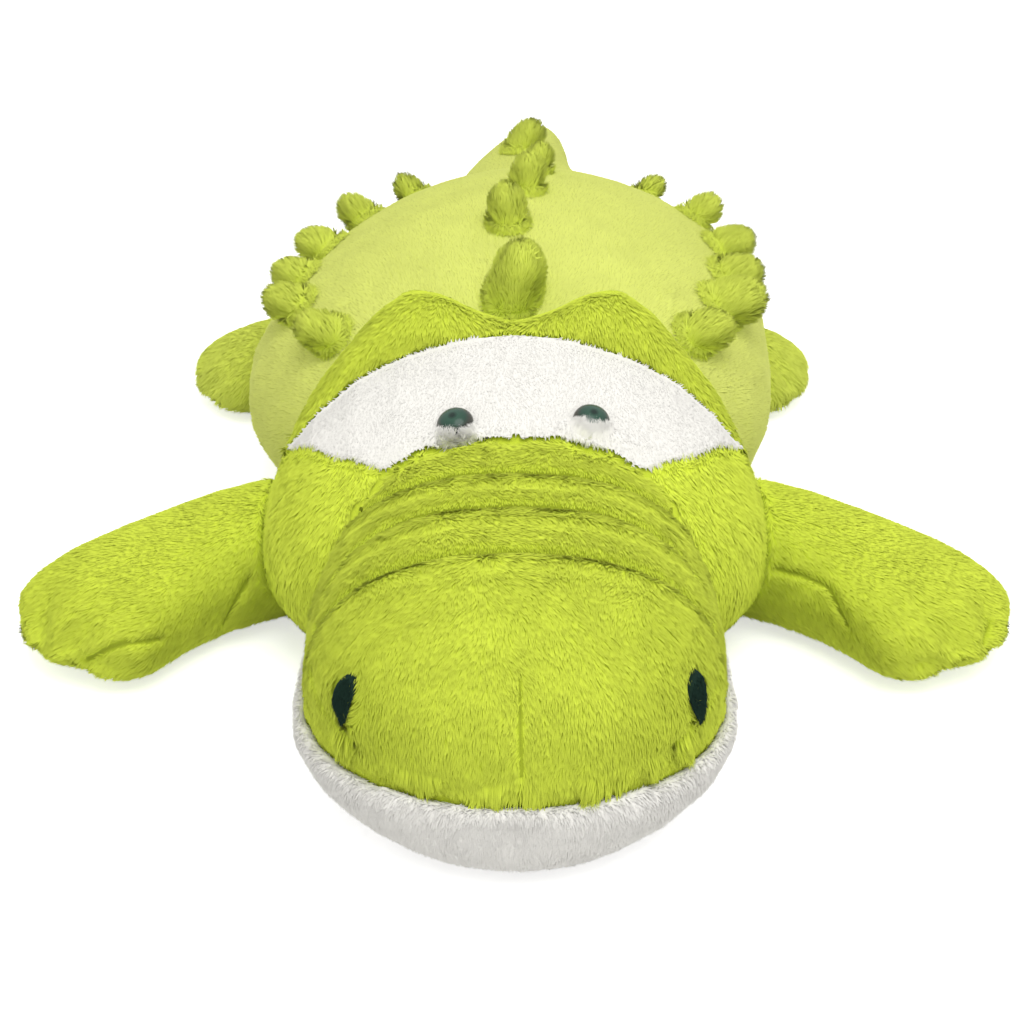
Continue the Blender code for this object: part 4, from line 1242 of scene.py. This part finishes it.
def fold_share(out, up):
    """1 on the underside of a fore leg next to the body, where its tufts are toned darker as painted shade.
    """
    return (1 - smooth_step(out, 0.155, 0.185)) * (1 - smooth_step(up, 0.6, 0.9))


def leg_bend(kind, name, side):
    """Where the skin of a leg would start to follow the leg, and where it would follow it fully; nothing
    makes it follow.
    """
    joint = next(j for j in frame["joints"] if j["child"] == f"{kind}_leg_{name}")
    x, y, _ = joint["pos_m"]
    return ("torso", f"{kind}_leg_{name}", (x, y, 0.05), (x + side * 0.06, y, 0.05))


class CROC_OT_legs(bpy.types.Operator):
    """Sews the four legs and fills them"""

    bl_idname = "crocodile.legs"
    bl_label = "Legs"

    def execute(self, context):
        pile = context.scene.pile
        for k, kind in enumerate(("fore", "hind")):
            for m, (name, side) in enumerate(SIDES):
                label = f"{kind}_leg_{name}"
                nodes = (label + "_cover", label + "_stuffing")
                near = [n for n in frame["nodes"] if n not in nodes]
                skin = sewn_skin(label + "_skin", nodes, near, voxel=0.0045)
                if kind == "fore":
                    finish_with(skin, "SUBSURF", levels=1, render_levels=1)
                lines = [laid_on(skin, line) for line in LEG_LINES.get(label, ())]
                press(skin, lambda p, n: 0.0024 * lines_share(p, lines, 0.0035))
                lines = [laid_on(skin, line) for line in lines]
                # Painted shade: marks the sewn lines and folds for a darker backing there.
                mark(skin, lambda p: 0.8 * lines_share(p, lines, 0.0022))
                bend = leg_bend(kind, name, side)
                tone = ("green", "paler green")[k]
                dress(skin, tone + " backing", across=bend)
                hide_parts(*nodes)
                root = (bend[2][0] - side * 0.05, bend[2][1], 0.12)
                # Painted shade: tufts along the sewn lines and folds, and under a fore leg next to the body,
                # are toned darker.
                made = brushed_pile(
                    label + "_pile", skin, tone, LEG_TUFTS[kind], pile.length, pile.lean + 0.08,
                    nap_out(root), 101 + 20 * k + 10 * m,
                    keep=lambda roots, ups: lines_share(roots, lines, 0.0015) < 0.4,
                    shade=lambda roots, ups: -0.3 * lines_share(roots, lines, 0.0028)
                    - 0.4 * (kind == "fore") * fold_share(side * roots[:, 0], ups[:, 2]),
                    trim=lambda roots, ups: 1 - 0.5 * lines_share(roots, lines, 0.0035),
                    tree=tree_of(near),
                )
                carry(made, across=bend)
        return {"FINISHED"}


class CROC_OT_spikes(bpy.types.Operator):
    """Sews the stuffed spikes along the sides, the back and the tail"""

    bl_idname = "crocodile.spikes"
    bl_label = "Spikes"

    def execute(self, context):
        pile = context.scene.pile
        names = [f"side_spike_{name}_{i}" for name, _ in SIDES for i in range(1, 7)]
        names += [f"crest_spike_{i}" for i in range(1, 5)] + ["tail_spike"]
        near = tree_of(["body_cover", "tail_cover"])
        for number, node in enumerate(names):
            body = "tail" if node == "tail_spike" else "torso"
            skin = sewn_skin(node + "_skin", (node,), ("body_cover", "tail_cover"), voxel=0.003, rise=0.001,
                             puffed=False, rooted=near)
            dress(skin, "paler green backing", body)
            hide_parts(node)
            low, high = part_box(node)
            centre = (low + high) / 2
            root = (centre.x * 0.8, centre.y, centre.z - 0.04)
            # Painted light: tufts near a spike's foot are toned lighter, against the shade there.
            made = brushed_pile(
                node + "_pile", skin, "paler green", SPIKE_TUFTS, pile.length * 1.15, math.radians(54),
                nap_out(root), 201 + 10 * number, clump=0.35, ragged=0.2, tree=near, flat=0.0,
                shade=lambda roots, ups: 0.6 * (1 - smooth_step(roots[:, 2], low.z, (low.z + high.z) / 2)),
            )
            carry(made, body)
        return {"FINISHED"}


class CROC_OT_washers(bpy.types.Operator):
    """Finishes the washers that lock the eyes inside the head"""

    bl_idname = "crocodile.washers"
    bl_label = "Eye washers"

    def execute(self, context):
        made, tree, shader = plain_material("washer plastic", 0.4)
        place = add_node(tree, "TexCoord").outputs["Object"]
        noise = add_node(tree, "TexNoise", {"Scale": 400.0, "Vector": place})
        ramp = add_node(tree, "ValToRGB", {"Fac": noise.outputs["Fac"]})
        ramp.color_ramp.elements[0].color = (0.70, 0.70, 0.67, 1)
        ramp.color_ramp.elements[1].color = (0.82, 0.82, 0.80, 1)
        tree.links.new(ramp.outputs["Color"], shader.inputs["Base Color"])
        for name, _ in SIDES:
            node = frame["nodes"]["eye_washer_" + name]
            node.data.materials.clear()
            node.data.materials.append(made)
        return {"FINISHED"}


def plainly_seen(tree):
    """1 for rays from the camera and for reflections."""
    rays = add_node(tree, "LightPath").outputs
    seen = add_node(tree, "Math", {0: rays["Is Camera Ray"], 1: rays["Is Glossy Ray"]}, operation="MAXIMUM")
    return seen.outputs[0]


class CROC_OT_stage(bpy.types.Operator):
    """Sets up the pale floor, the soft light and the camera"""

    bl_idname = "crocodile.stage"
    bl_label = "Stage"

    def execute(self, context):
        stage = context.scene.stage
        clear_choice()
        bpy.ops.mesh.primitive_plane_add(size=24, location=(0, 0, 0))
        floor = context.active_object
        floor.name = "floor"
        made, tree, shader = plain_material("floor paper", 0.9)
        shader.inputs["Base Color"].default_value = (0.9, 0.9, 0.9, 1)
        shader.inputs["Emission Color"].default_value = (1, 1, 1, 1)
        glow = add_node(tree, "Math", {0: plainly_seen(tree), 1: FLOOR_GLOW}, operation="MULTIPLY")
        tree.links.new(glow.outputs[0], shader.inputs["Emission Strength"])
        floor.data.materials.append(made)

        world = bpy.data.worlds.new("surround")
        context.scene.world = world
        world.use_nodes = True
        tree = world.node_tree
        plain = tree.nodes["Background"]
        level = add_node(
            tree, "MapRange", {"To Min": stage.surround, "To Max": 1.0, "Value": plainly_seen(tree)}
        )
        tree.links.new(level.outputs["Result"], plain.inputs["Strength"])
        plain.inputs["Color"].default_value = (1, 1, 1, 1)

        bpy.ops.object.light_add(type="AREA", location=(0.3, -1.05, 2.3))
        lamp = context.active_object
        lamp.name = "soft box"
        lamp.data.shape = "DISK"
        lamp.data.size = 1.8
        lamp.data.energy = stage.light
        lamp.rotation_euler = (Vector((0, 0, 0)) - lamp.location).to_track_quat("-Z", "Y").to_euler()

        bpy.ops.object.camera_add(
            location=(stage.camera_side, NOSE_Y - stage.camera_distance, stage.camera_height),
            rotation=(math.pi / 2 - stage.tilt, 0, 0),
        )
        camera = context.active_object
        camera.data.lens = stage.lens
        camera.data.sensor_width = 36
        camera.data.clip_start = 0.01
        camera.data.clip_end = 100
        context.scene.camera = camera
        context.scene.view_settings.view_transform = "Standard"
        return {"FINISHED"}


STEPS = (
    CROC_OT_finishes,
    CROC_OT_stage,
    CROC_OT_body,
    CROC_OT_head,
    CROC_OT_snout,
    CROC_OT_jaw,
    CROC_OT_brow,
    CROC_OT_mask,
    CROC_OT_eyes,
    CROC_OT_nostrils,
    CROC_OT_legs,
    CROC_OT_spikes,
    CROC_OT_washers,
)


class CROC_PT_panel(bpy.types.Panel):
    """The pieces of the crocodile, in the order in which they are made"""

    bl_label = "Stuffed crocodile"
    bl_idname = "CROC_PT_panel"
    bl_space_type = "VIEW_3D"
    bl_region_type = "UI"
    bl_category = "Crocodile"

    def draw(self, context):
        for settings in (context.scene.shape, context.scene.pile, context.scene.cloth, context.scene.stage):
            box = self.layout.box()
            for name in settings.bl_rna.properties.keys():
                if name not in ("rna_type", "name"):
                    box.prop(settings, name)
        for step in STEPS:
            self.layout.operator(step.bl_idname)


GROUPS = (
    ("pile", PileSettings),
    ("cloth", ClothSettings),
    ("shape", ShapeSettings),
    ("stage", StageSettings),
)


def register():
    for name, group in GROUPS:
        bpy.utils.register_class(group)
        setattr(bpy.types.Scene, name, PointerProperty(type=group))
    for step in STEPS:
        bpy.utils.register_class(step)
    bpy.utils.register_class(CROC_PT_panel)


def unregister():
    bpy.utils.unregister_class(CROC_PT_panel)
    for step in reversed(STEPS):
        bpy.utils.unregister_class(step)
    for name, group in reversed(GROUPS):
        delattr(bpy.types.Scene, name)
        bpy.utils.unregister_class(group)


def main():
    register()
    for step in STEPS:
        area, action = step.bl_idname.split(".")
        getattr(getattr(bpy.ops, area), action)()


if __name__ == "__main__":
    main()
